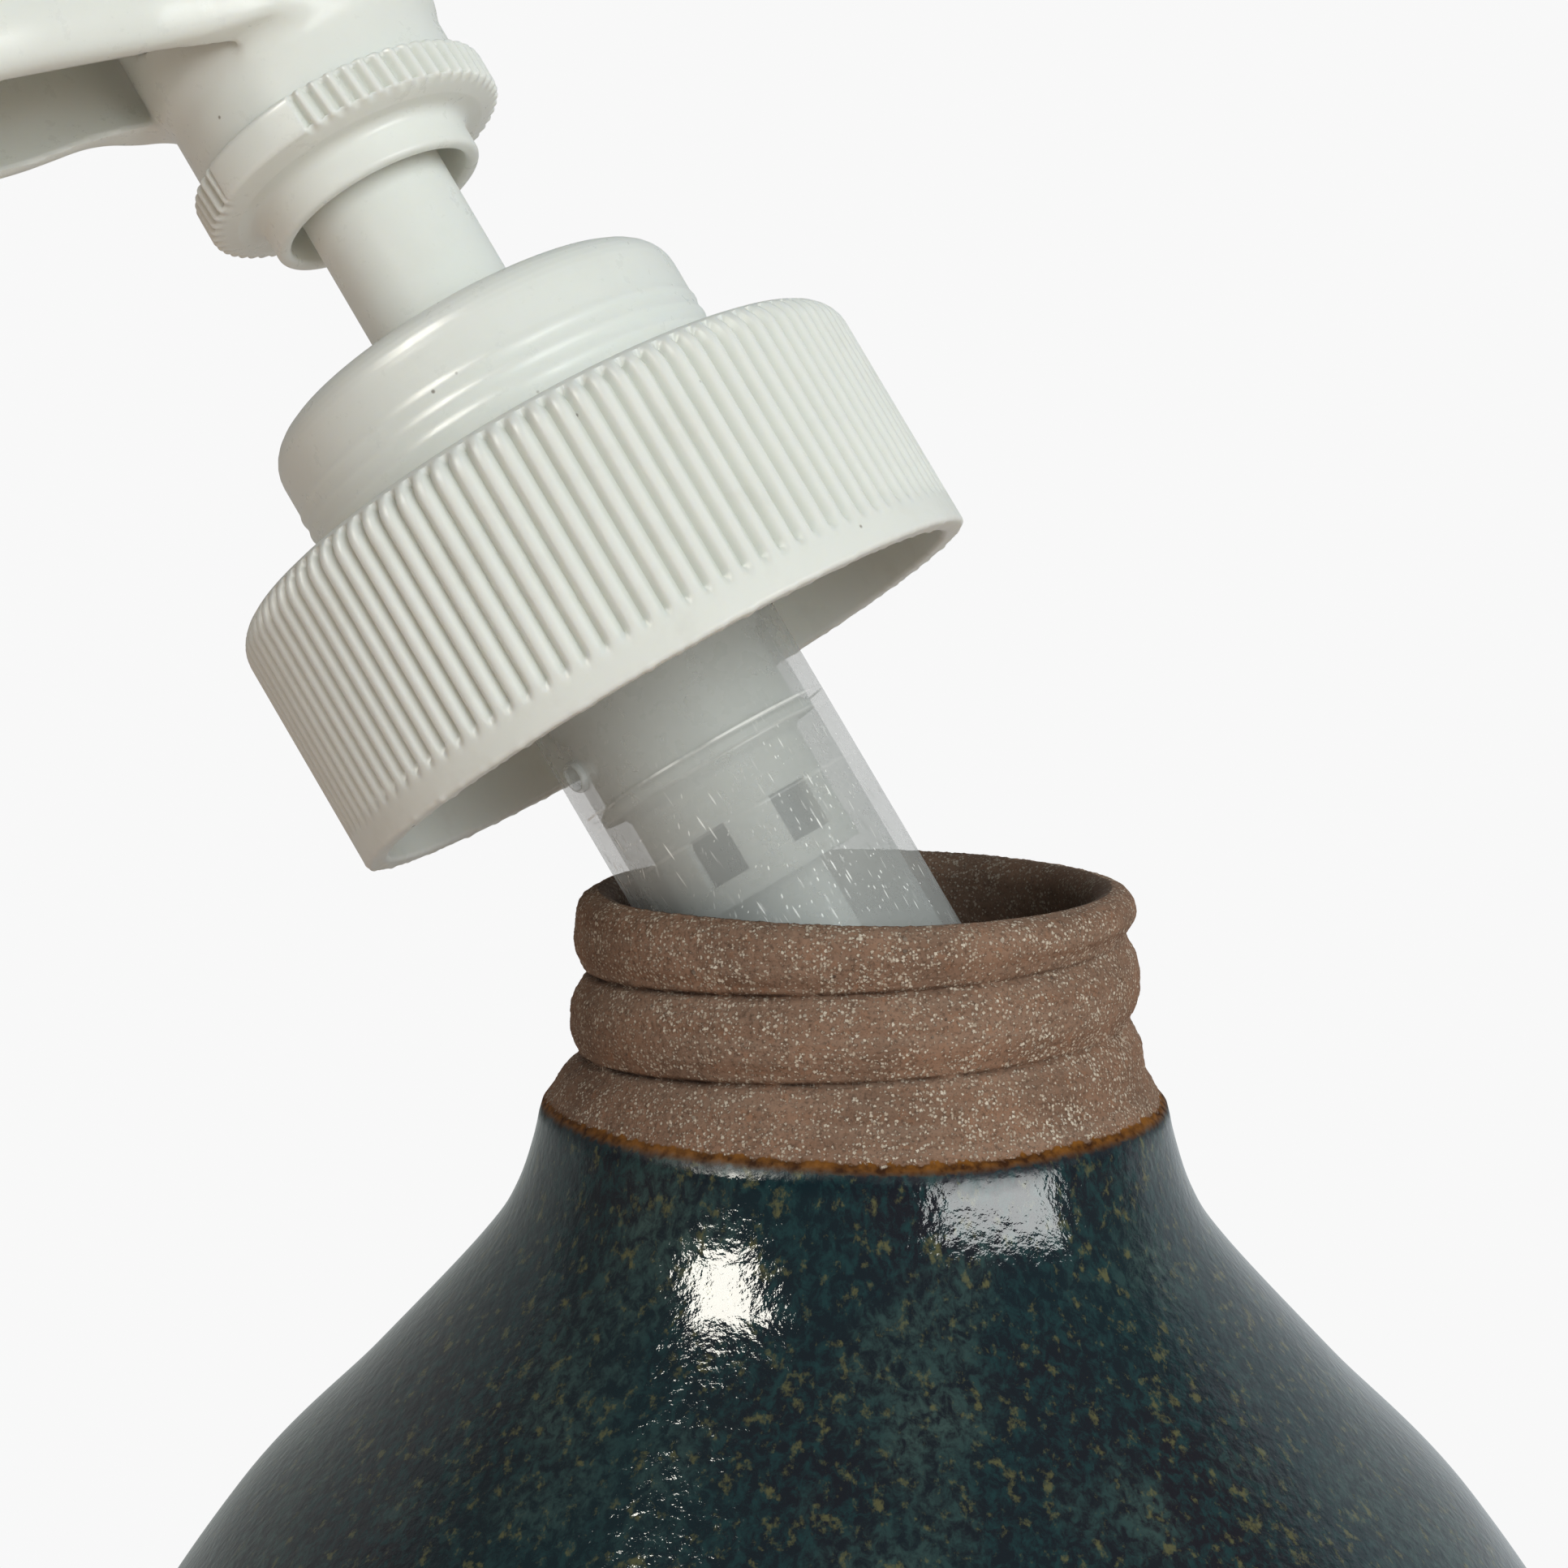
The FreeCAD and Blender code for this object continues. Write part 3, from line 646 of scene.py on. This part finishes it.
# ---------------------------------------------------------------- bottle
def bottle_outline():
    """From the middle of the foot, up the outside, over the rim and down the inside."""
    top = BOTTLE_HEIGHT
    row_height = 0.13           # of the mesh on the neck
    lip = NECK_CREST - 0.5
    foot = [(0.0, 0.6), (20.0, 0.6), (33.0, 0.4), (FOOT_RADIUS - 0.8, 0.0), (FOOT_RADIUS, 0.3)]
    wall = smooth_line(
        [(FOOT_RADIUS + 1.2, 2.0), (45.8, 12.0), (51.8, 26.0), (BELLY_RADIUS, BELLY_HEIGHT),
         (52.6, 66.0), (43.7, top - 43.8), (34.4, top - 34.3), (26.1, top - 25.4),
         (23.1, top - 20.9), (21.2, top - NECK_LENGTH - 1.0)], 0.8)
    flare = smooth_line(
        [(20.9, top - NECK_LENGTH - 0.2), (20.6, top - NECK_LENGTH + 0.4),
         (20.0, top - NECK_LENGTH + 1.5), (NECK_CREST, top - NECK_LENGTH + 2.8)], row_height)
    crown = top - RIM_ROUNDING
    middle = 0.5 * (lip + BORE_RADIUS)
    half = middle - BORE_RADIUS
    neck = spaced([(NECK_CREST, flare[-1][1] + 0.3), (lip, crown)], row_height, False)
    rim = [(middle + half * math.cos(t), crown + RIM_ROUNDING * math.sin(t))
           for t in np.linspace(0.0, math.pi, 26)[1:-1]]
    bore = spaced([(BORE_RADIUS, crown), (BORE_RADIUS, top - NECK_LENGTH - 1.0)], 0.4, False)
    inside = smooth_line(
        [(BORE_RADIUS + 0.3, top - NECK_LENGTH - 2.0), (20.3, top - 23.8), (29.5, top - 35.0),
         (38.9, top - 44.4), (48.4, 65.0), (BELLY_RADIUS - 4.6, BELLY_HEIGHT), (47.6, 26.0),
         (40.8, 12.5), (34.0, 7.6), (26.0, FLOOR_HEIGHT)], 2.0)
    bottom = [(13.0, FLOOR_HEIGHT), (0.0, FLOOR_HEIGHT)]
    return np.vstack((foot, wall, flare, neck, rim, bore, inside, bottom))


def glaze_line(bearing):
    """Depth below the rim where the glaze starts, round the neck."""
    return (NECK_LENGTH + 0.45 - 0.30 * np.cos(bearing) + 0.12 * np.sin(3 * bearing + 0.8)
            + 0.06 * np.sin(7 * bearing))


def glaze_depth(height, bearing, outside):
    """Millimetres into the glazed skin, below zero on bare clay."""
    below_line = (BOTTLE_HEIGHT - height) - glaze_line(bearing)
    above_foot = height - FOOT_BARE - 0.4 * np.sin(2 * bearing) - 0.15 * np.sin(5 * bearing + 1)
    return np.where(outside, np.minimum(below_line, above_foot), INSIDE)


def thread_groove(depth, bearing):
    """Two shares, 0 to 1: a soft groove that climbs to the right, and the crease in it."""
    turns = bearing / (2 * math.pi)
    uneven = depth * (1 + 0.05 * np.maximum(np.cos(bearing), 0))
    phase = (uneven - THREAD_FRONT) / THREAD_PITCH + turns
    away = np.abs(phase - np.round(phase)) * THREAD_PITCH
    kept = smoothstep(13.0, 11.6, depth) * smoothstep(0.9, 2.8, depth)
    crease = np.exp(-(away / CREASE_WIDTH) ** 2) * (0.5 + 0.5 * np.cos(bearing + 0.9))
    return kept * np.exp(-(away / GROOVE_WIDTH) ** 2), kept * crease


def rough(points_mm, per_mm, octaves):
    """Fractal noise at each point, about -1 to 1."""
    return np.array([noise.fractal(Vector(p) * per_mm, 0.6, 2.1, octaves) for p in points_mm])


def wheel_marks(height):
    """Fine uneven rings from the potter's wheel, as mm of relief."""
    levels = np.arange(0, BOTTLE_HEIGHT + 1, WHEEL_MARK_SPACING)
    marks = rough([(0, 0, level) for level in levels], 1.1, 3)
    return WHEEL_MARK_DEPTH * np.interp(height, levels, marks)


def bottle():
    outline = bottle_outline()
    steps = 900
    rim_row = int(np.argmax(outline[:, 1]))
    outside = np.arange(len(outline))[:, None] <= rim_row

    def relief(radius, height, bearing, normal_out):
        depth = BOTTLE_HEIGHT - height
        skin = glaze_depth(height, bearing, outside)
        bead = GLAZE_THICKNESS * smoothstep(0.0, 0.4, skin) * (1 - 0.4 * smoothstep(0.7, 2.6, skin))
        groove, crease = thread_groove(depth, bearing)
        raised = bead - (THREAD_DEPTH * groove + CREASE_DEPTH * crease) * (outside & (depth > 0.8))
        oval = 0.16 * np.cos(2 * bearing + 0.5) + 0.10 * np.cos(3 * bearing + 2.0)
        raised = raised + oval * smoothstep(16.0, 8.0, depth) * outside
        points = np.stack(
            (radius * np.sin(bearing), -radius * np.cos(bearing), height), axis=-1)
        near_rim = depth < NECK_LENGTH + 1.5
        on_neck = outside & near_rim
        gritty = near_rim & (depth >= 0)
        grit = np.zeros_like(radius)
        grit[gritty] = rough(points[gritty], 2.2, 3) * np.where(on_neck, 0.07, 0.02)[gritty]
        bare = smoothstep(0.2, -0.2, skin)
        waves = 0.05 * np.sin(height / 3.1) * smoothstep(90.0, 70.0, height)
        clay_relief = (grit + wheel_marks(height) * on_neck) * bare
        return raised + clay_relief + waves * outside * (1 - bare)

    mesh = lathe("bottle", outline, steps, relief, closed=False, sharp=70.0)
    settle_rim(mesh)
    write_glaze(mesh)
    piece("bottle", mesh, stoneware(), "bottle", "glazed_stoneware", Matrix(), "bottle_body")


def settle_rim(mesh):
    """The thrown rim isn't level: it dips to the front left."""
    for vertex in mesh.vertices:
        x, y, z = vertex.co / MM
        depth = BOTTLE_HEIGHT - z
        if depth < RIM_DIP_REACH:
            bearing = math.atan2(x, -y)
            share = float(smoothstep(RIM_DIP_REACH, 0.5, depth))
            drop = 0.16 + 0.16 * math.cos(bearing + 0.9) + 0.07 * math.cos(2 * bearing - 0.4)
            vertex.co.z -= max(drop, 0.0) * share * MM


def write_glaze(mesh):
    """The depth into the glaze and the thread's crease at each vertex, for the material."""
    count = len(mesh.vertices)
    places = np.empty(count * 3, np.float32)
    mesh.vertices.foreach_get("co", places)
    x, y, z = places.reshape(-1, 3).T / MM
    bearing = np.arctan2(x, -y)
    normals = np.empty(count * 3, np.float32)
    mesh.vertices.foreach_get("normal", normals)
    facing = (normals.reshape(-1, 3)[:, :2] * np.stack((x, y), axis=1)).sum(axis=1)
    outside = (facing > 0) & (np.hypot(x, y) > BORE_RADIUS + 1.0)
    skin = glaze_depth(z, bearing, outside)
    crease = thread_groove(BOTTLE_HEIGHT - z, bearing)[1] * outside
    for name, values in (("glaze", skin), ("crease", crease)):
        attribute = mesh.attributes.new(name, "FLOAT", "POINT")
        attribute.data.foreach_set("value", values.astype(np.float32))


# ---------------------------------------------------------------- pump pieces
def cap():
    radius, low, top = span("screw_cap")
    inner = radius - CAP_WALL
    hole = span("collar")[0] - CAP_HOLE_INSET
    outline = rounded([
        (inner, low, 0.35), (radius, low, 0.35), (radius, top, CAP_TOP_ROUNDING),
        (hole, top, 0.3), (hole, top - CAP_ROOF, 0.3), (inner, top - CAP_ROOF, 0.8),
    ], 7)
    outline = spaced(outline, 0.4)
    band_top = low + CAP_BAND

    def relief(r, z, bearing, normal_out):
        groove = (0.5 + 0.5 * np.cos(CAP_RIBS * bearing)) ** RIB_SHARPNESS
        outer = smoothstep(0.12, 0.55, normal_out) * (r > inner + 0.8)
        ribs = RIB_DEPTH * groove * outer * smoothstep(band_top - 0.1, band_top + 0.5, z)
        ragged = sum(np.sin(k * bearing + 1.7 * k) for k in (37, 61, 89, 143)) / 4
        flash = FLASH_HEIGHT * np.maximum(ragged, 0) * smoothstep(low + 0.5, low + 0.05, z)
        turns = (bearing / (2 * math.pi)) % 1.0
        away = np.full(np.broadcast_shapes(z.shape, bearing.shape), 9.0)
        for k in (0, 1):
            path = low + CAP_THREAD_START + CAP_THREAD_PITCH * (turns + k)
            shown = (k + turns) < CAP_THREAD_TURNS
            away = np.where(shown, np.minimum(away, np.abs(z - path)), away)
        inner_wall = smoothstep(-0.5, -0.95, normal_out) * (r > inner - 0.4)
        thread = CAP_THREAD_HEIGHT * smoothstep(1.25, 0.45, away) * inner_wall
        return flash - ribs + thread

    mesh = lathe("cap", outline, CAP_RIBS * 8, relief, sharp=50.0)
    piece("cap", mesh, white_plastic("cap_plastic", 0.42, 0.9), "closure", "white_plastic", PUMP,
          "screw_cap")


def collar():
    gap = 0.05                  # to the pieces that slide or turn against it
    radius, _, top = span("collar")
    radius -= COLLAR_SLIM
    guide = span("piston_stem")[0] + gap
    bottom = span("screw_cap")[2] + gap
    low = bottom - 1.5
    cup = HOUSING_RADIUS + gap
    outline = rounded([
        (cup, low, 0), (SPIGOT_RADIUS, low, 0.2), (SPIGOT_RADIUS, bottom, 0), (radius, bottom, 0.35),
        (radius, top, COLLAR_SHOULDER), (COLLAR_MOUTH, top, 0.5), (COLLAR_MOUTH, COLLAR_RECESS, 0.5),
        (guide, COLLAR_RECESS, 0.2), (guide, GUIDE_BOTTOM, 0.1), (guide + 1.0, GUIDE_BOTTOM, 0.1),
        (guide + 1.0, 9.4, 0.1), (cup, 9.4, 0.1),
    ], 8)

    def relief(r, z, bearing, normal_out):
        rings = sum(np.exp(-((z - ring) / RING_WIDTH) ** 2) for ring in COLLAR_RINGS)
        return RING_HEIGHT * rings * smoothstep(0.8, 1.0, normal_out) * (r > radius - 0.5)

    mesh = lathe("collar_shell", spaced(outline, 0.15), 256, relief)
    piece("collar_shell", mesh, white_plastic("collar_plastic", 0.30, 0.2, 0.01),
          "pump_body", "white_gloss_plastic", PUMP, "collar")


def stem():
    radius, low, top = span("piston_stem")
    outline = rounded([
        (STEM_BORE, top, 0.3), (STEM_BORE, PISTON_TOP - 0.2, 0.2), (1.2, -11.8, 0.1),
        (1.2, -12.6, 0), (2.0, -12.6, 0), (2.0, low, 0), (3.4, low, 0.1),
        (3.4, PISTON_BOTTOM, 0.1), (4.6, PISTON_BOTTOM, 0.1), (4.6, PISTON_TOP, 0.1),
        (radius, PISTON_TOP, 0.3), (radius, top, 0.4),
    ])
    mesh = lathe("stem", spaced(outline, 1.0), 192)
    piece("stem", mesh, white_plastic("stem_plastic", 0.3, 0.35, 0.008), "piston",
          "white_gloss_plastic", PUMP, "piston_stem")


def vent_lip(material):
    """The rounded lip round the air hole in the housing's wall."""
    sunk = -0.3                 # its root lies in the wall
    outline = rounded([
        (VENT_RADIUS, sunk, 0), (VENT_LIP_RADIUS, sunk, 0),
        (VENT_LIP_RADIUS, VENT_LIP_HEIGHT, 0.25), (VENT_RADIUS, VENT_LIP_HEIGHT, 0.12),
    ])
    mesh = lathe("vent_lip", spaced(outline, 0.08), 48)
    bearing = math.radians(VENT_BEARING)
    outward = Vector((math.sin(bearing), -math.cos(bearing), 0.0))
    spot = Matrix.Translation((outward * HOUSING_RADIUS + Vector((0, 0, VENT_HEIGHT))) * MM)
    turn = outward.to_track_quat("Z", "Y").to_matrix().to_4x4()
    piece("vent_lip", mesh, material, "pump_body", "frosted_plastic", PUMP @ spot @ turn)


def head_flange(material):
    """The knurled flange with the skirt below it and the root that the boss covers."""
    inner = SKIRT_RADIUS - 1.0
    root_top = HEAD_FLANGE_TOP + 0.9
    outline = rounded([
        (inner, SKIRT_BOTTOM, 0.4), (SKIRT_RADIUS, SKIRT_BOTTOM, 0.4), (SKIRT_RADIUS, 27.8, 0.8),
        (9.3, 27.8, 0.5), (HEAD_FLANGE, HEAD_FLANGE_BOTTOM, 0.35), (HEAD_FLANGE, HEAD_FLANGE_TOP, 0.5),
        (9.2, HEAD_FLANGE_TOP, 0), (9.2, root_top, 0), (SOCKET_RADIUS, root_top, 0),
        (SOCKET_RADIUS, 28.4, 0.2), (inner, 28.4, 0.3),
    ])

    def relief(r, z, bearing, normal_out):
        groove = (0.5 + 0.5 * np.cos(KNURL_TEETH * bearing + 0.5 * (z - 29.5))) ** 1.4
        away = np.abs((np.degrees(bearing) - 90.0 - PLAIN_MIDDLE + 180.0) % 360.0 - 180.0)
        cut = smoothstep(PLAIN_HALF_ANGLE - 1, PLAIN_HALF_ANGLE + 1, away)
        edge = smoothstep(9.9, 10.6, r) * smoothstep(28.0, 28.5, z) * smoothstep(31.1, 30.7, z)
        return -KNURL_DEPTH * groove * cut * edge

    mesh = lathe("head_flange", spaced(outline, 0.25), KNURL_TEETH * 12, relief, sharp=45.0)
    piece("head_flange", mesh, material, "actuator", "white_gloss_plastic", HEAD, "actuator_head")


def meet(a, b, size):
    """Both of two fields, with a rounded edge where they cross."""
    outside = np.hypot(np.maximum(size + a, 0), np.maximum(size + b, 0))
    return np.minimum(-size, np.maximum(a, b)) + outside


def join(a, b, size):
    """Either of two fields, with a hollow fillet where they cross."""
    inside = np.hypot(np.maximum(size - a, 0), np.maximum(size - b, 0))
    return np.maximum(size, np.minimum(a, b)) - inside


CREST = smooth_line([(-12.0, 41.0), (-8.6, 46.2), (-1.0, 48.4), (9.0, 47.3), (22.0, 46.9),
                     (32.0, 46.8), (37.0, 45.6), (40.0, 43.2), (42.0, 40.5)], 0.3)


def hood_field(x, y, z):
    """Distance to the head above its flange: boss, hood over the spout, open below."""
    from_axis = np.hypot(x, y)
    tip = SPOUT_REACH - HOOD_WIDTH / 2 + HOOD_TAPER
    drop = HOOD_DROP * smoothstep(3.0, 6.0, y) * smoothstep(15.0, 8.5, x)
    rise = HOOD_RISE * smoothstep(-3.0, -6.0, y) * smoothstep(22.0, 8.5, x)
    edge = HOOD_BOTTOM - drop + rise
    tuck = HOOD_TUCK * np.clip((edge + HOOD_ROLL - z) / HOOD_ROLL, 0.0, 1.3) ** 2
    half_width = (HOOD_WIDTH / 2 - HOOD_TAPER * smoothstep(22.0, 36.0, x)
                  + (BOSS_RADIUS - 0.2 - HOOD_WIDTH / 2) * smoothstep(16.0, 3.0, x))
    flank = np.hypot(x - np.clip(x, 0, tip), y) - half_width + tuck
    crest = z - np.interp(x, CREST[:, 0], CREST[:, 1])
    fillet = 0.3 + HOOD_FILLET * smoothstep(0.0, 10.0, x)
    plan = join(flank, from_axis - BOSS_RADIUS, fillet)
    shell = meet(meet(plan, crest, CREST_ROUNDING), edge - z, 0.5)
    channel = meet(flank + HOOD_WALL, crest + HOOD_WALL + 0.2, 2.2)
    channel = meet(channel, BOSS_RADIUS - from_axis, 0.8)
    shell = meet(shell, -channel, 0.5)
    boss = meet(meet(from_axis - BOSS_RADIUS, crest, CREST_ROUNDING), BOSS_BOTTOM - z, 0.3)
    head = join(shell, boss, 1.8)
    socket = meet(from_axis - SOCKET_RADIUS, z - SOCKET_TOP, 0.2)
    riser = meet(from_axis - RISER_RADIUS, z - RISER_TOP, 0.2)
    pipe = meet(np.hypot(y, z - CONDUIT_HEIGHT) - CONDUIT_RADIUS, 3.0 - x, 0.2)
    hollow = np.minimum(np.minimum(socket, riser), pipe)
    return np.maximum(head, -hollow)


def head_hood(material):
    """Boss and hood in one; the grid has to reach past all their sides, or holes appear."""
    low = (-11.2, -11.2, 29.6)
    high = (42.2, 11.2, 49.6)
    mesh = level_surface("head_hood", hood_field, low, high, 0.3)
    piece("head_hood", mesh, material, "actuator", "white_gloss_plastic", HEAD)


def spring():
    """Coil between the retainer and the end of the liquid piston."""
    reach, low, high = span("return_spring")
    radius = reach - WIRE_RADIUS
    sides = 12
    turns = np.linspace(0, SPRING_TURNS, SPRING_TURNS * 40 + 1)
    around = 2 * math.pi * turns
    rise = low + WIRE_RADIUS + (high - low - 2 * WIRE_RADIUS) * turns / SPRING_TURNS
    side = np.linspace(0, 2 * math.pi, sides, endpoint=False)
    wide = radius + WIRE_RADIUS * np.cos(side)[None, :]
    points = np.stack((wide * np.cos(around)[:, None], wide * np.sin(around)[:, None],
                       rise[:, None] + WIRE_RADIUS * np.sin(side)[None, :]), axis=-1)
    count = len(turns)
    faces = [[i * sides + j, i * sides + (j + 1) % sides, (i + 1) * sides + (j + 1) % sides,
              (i + 1) * sides + j] for i in range(count - 1) for j in range(sides)]
    faces += [list(range(sides)), [(count - 1) * sides + j for j in range(sides)]]
    mesh = finished_mesh("spring_coil", points.reshape(-1, 3), faces)
    obj = piece("spring_coil", mesh, spring_steel(), "pump_body", "spring_steel", PUMP,
                "return_spring")
    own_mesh(obj)


def dress(material, *names):
    """Give CAD nodes that keep their own shape a finished material."""
    for name in names:
        mesh = nodes[name].data
        mesh.materials.clear()
        mesh.materials.append(material)


# ---------------------------------------------------------------- set and light
def floor():
    """Pale paper that takes soft shadows by the object and runs out to the backdrop's white."""
    bpy.ops.mesh.primitive_circle_add(vertices=96, radius=FLOOR_RADIUS, fill_type="NGON")
    ground = bpy.context.object
    ground.name = "ground"
    s = Shading("ground_paper", Roughness=0.9, Specular_IOR_Level=0.1)
    fibre = s.ramp(s.noise(0.8, 4.0), 0.3, 0.7)
    s.put(s.shader, "Base Color", s.mix(fibre, rgba(0.78, 0.78, 0.78), rgba(0.81, 0.81, 0.81)))
    out = s.add("VectorMath", {0: s.place}, operation="LENGTH").outputs["Value"]
    far = s.add("MapRange", {"Value": out, "From Min": PAPER_NEAR, "From Max": PAPER_FAR,
                             "To Min": PAPER_GLOW}, interpolation_type="SMOOTHSTEP").outputs[0]
    white = s.add("Emission", {"Color": rgba(1.0, 1.0, 1.0), "Strength": BACKDROP})
    blend = s.add("MixShader", {0: far, 1: s.shader.outputs[0], 2: white.outputs[0]})
    s.put(s.tree.nodes["Material Output"], "Surface", blend.outputs[0])
    ground.data.materials.append(s.material)
    under = ground.copy()
    under.data = ground.data.copy()
    under.name = "bounce"
    under.location.z = -0.5 * MM
    bpy.context.scene.collection.objects.link(under)
    bounce = Shading("bounce", Base_Color=rgba(0.0, 0.0, 0.0), Specular_IOR_Level=0.0,
                     Emission_Color=rgba(1.0, 0.82, 0.69), Emission_Strength=BOUNCE)
    under.data.materials[0] = bounce.material
    under.visible_camera = False
    under.visible_glossy = False
    ground.visible_diffuse = False
    ground.visible_glossy = False
    ground.visible_transmission = False
    ground.visible_shadow = False


def softbox(name, towards, distance, width, height, power, colour, diffuse=True, glossy=True):
    """A rectangular light that faces the neck from a direction."""
    data = bpy.data.lights.new(name, "AREA")
    data.shape = "RECTANGLE"
    data.size = width
    data.size_y = height
    data.energy = power
    data.color = colour
    lamp = bpy.data.objects.new(name, data)
    lamp.location = Vector((0, 0, BOTTLE_HEIGHT * MM)) + Vector(towards).normalized() * distance
    lamp.rotation_euler = Vector(towards).to_track_quat("Z", "Y").to_euler()
    bpy.context.scene.collection.objects.link(lamp)
    lamp.visible_camera = False
    lamp.visible_diffuse = diffuse
    lamp.visible_glossy = glossy


def surroundings():
    """White behind everything the camera sees, a dimmer room for the light."""
    front_shade = rgba(0.20, 0.19, 0.175)
    back_left = rgba(0.34, 0.36, 0.35)
    back_right = rgba(0.56, 0.60, 0.62)
    world = bpy.data.worlds.new("room")
    bpy.context.scene.world = world
    world.use_nodes = True
    world.node_tree.nodes.clear()
    w = Nodes(world.node_tree)
    towards = w.add("SeparateXYZ", {0: w.add("TexCoord", {}).outputs["Generated"]})
    back = w.mix(w.ramp(towards.outputs["X"], -0.3, 0.4), back_left, back_right)
    shade = w.mix(w.ramp(towards.outputs["Y"], 0.20, 0.44), front_shade, back)
    room = w.add("Background", {"Color": shade, "Strength": 1.0})
    white = w.add("Background", {"Color": rgba(1.0, 1.0, 1.0), "Strength": BACKDROP})
    seen = w.add("LightPath", {}).outputs["Is Camera Ray"]
    mixer = w.add("MixShader", {0: seen, 1: room.outputs[0], 2: white.outputs[0]})
    w.add("OutputWorld", {0: mixer.outputs[0]})


def camera():
    data = bpy.data.cameras.new("camera")
    data.sensor_width = 36.0
    data.lens = LENS
    data.clip_start = 0.01
    data.clip_end = 30.0
    view = bpy.data.objects.new("camera", data)
    view.location = Vector((0, 0, BOTTLE_HEIGHT * MM)) + EYE_FROM_RIM
    view.rotation_euler = (math.radians(90.0 - EYE_PITCH), 0.0, 0.0)
    bpy.context.scene.collection.objects.link(view)
    bpy.context.scene.camera = view


# ---------------------------------------------------------------- build
bottle()
cap()
collar()
stem()
gloss = white_plastic("head_plastic", 0.30, 0.2)
head_flange(gloss)
head_hood(gloss)
spring()
frosted = frosted_plastic()
vent_lip(frosted)
dress(frosted, "pump_cylinder")
dress(white_plastic("inner_plastic", 0.4, 0.3), "foam_conduit", "air_piston", "liquid_piston",
      "valve_cage", "mesh_holder", "ball_retainer", "dip_tube")
dress(dull_surface("blue_elastomer", rgba(0.015, 0.035, 0.048), rgba(0.03, 0.06, 0.078)), "air_valve")
dress(dull_surface("gasket_foam", rgba(0.60, 0.60, 0.56), rgba(0.72, 0.72, 0.68)), "neck_gasket")
dress(dull_surface("ball_steel", rgba(0.45, 0.45, 0.45), rgba(0.60, 0.60, 0.60)),
      "suction_ball", "discharge_ball")
dress(woven_mesh(), "coarse_mesh", "fine_mesh")
floor()
surroundings()
# direction from the neck, then distance, width and height in metres, watts and colour
softbox("key", (0.46, -0.82, 0.36), 2.4, 1.6, 1.6, 42.0, (0.94, 1.0, 1.0), glossy=False)
softbox("patch", (0.72, -0.645, 0.13), 2.4, 1.9, 0.75, 42.0, (0.97, 1.0, 0.99), diffuse=False)
softbox("window", (-0.60, -0.56, 0.56), 1.2, 0.40, 0.62, 19.0, (1.0, 0.97, 0.88), diffuse=False)
camera()
bpy.context.scene.view_settings.view_transform = "Standard"
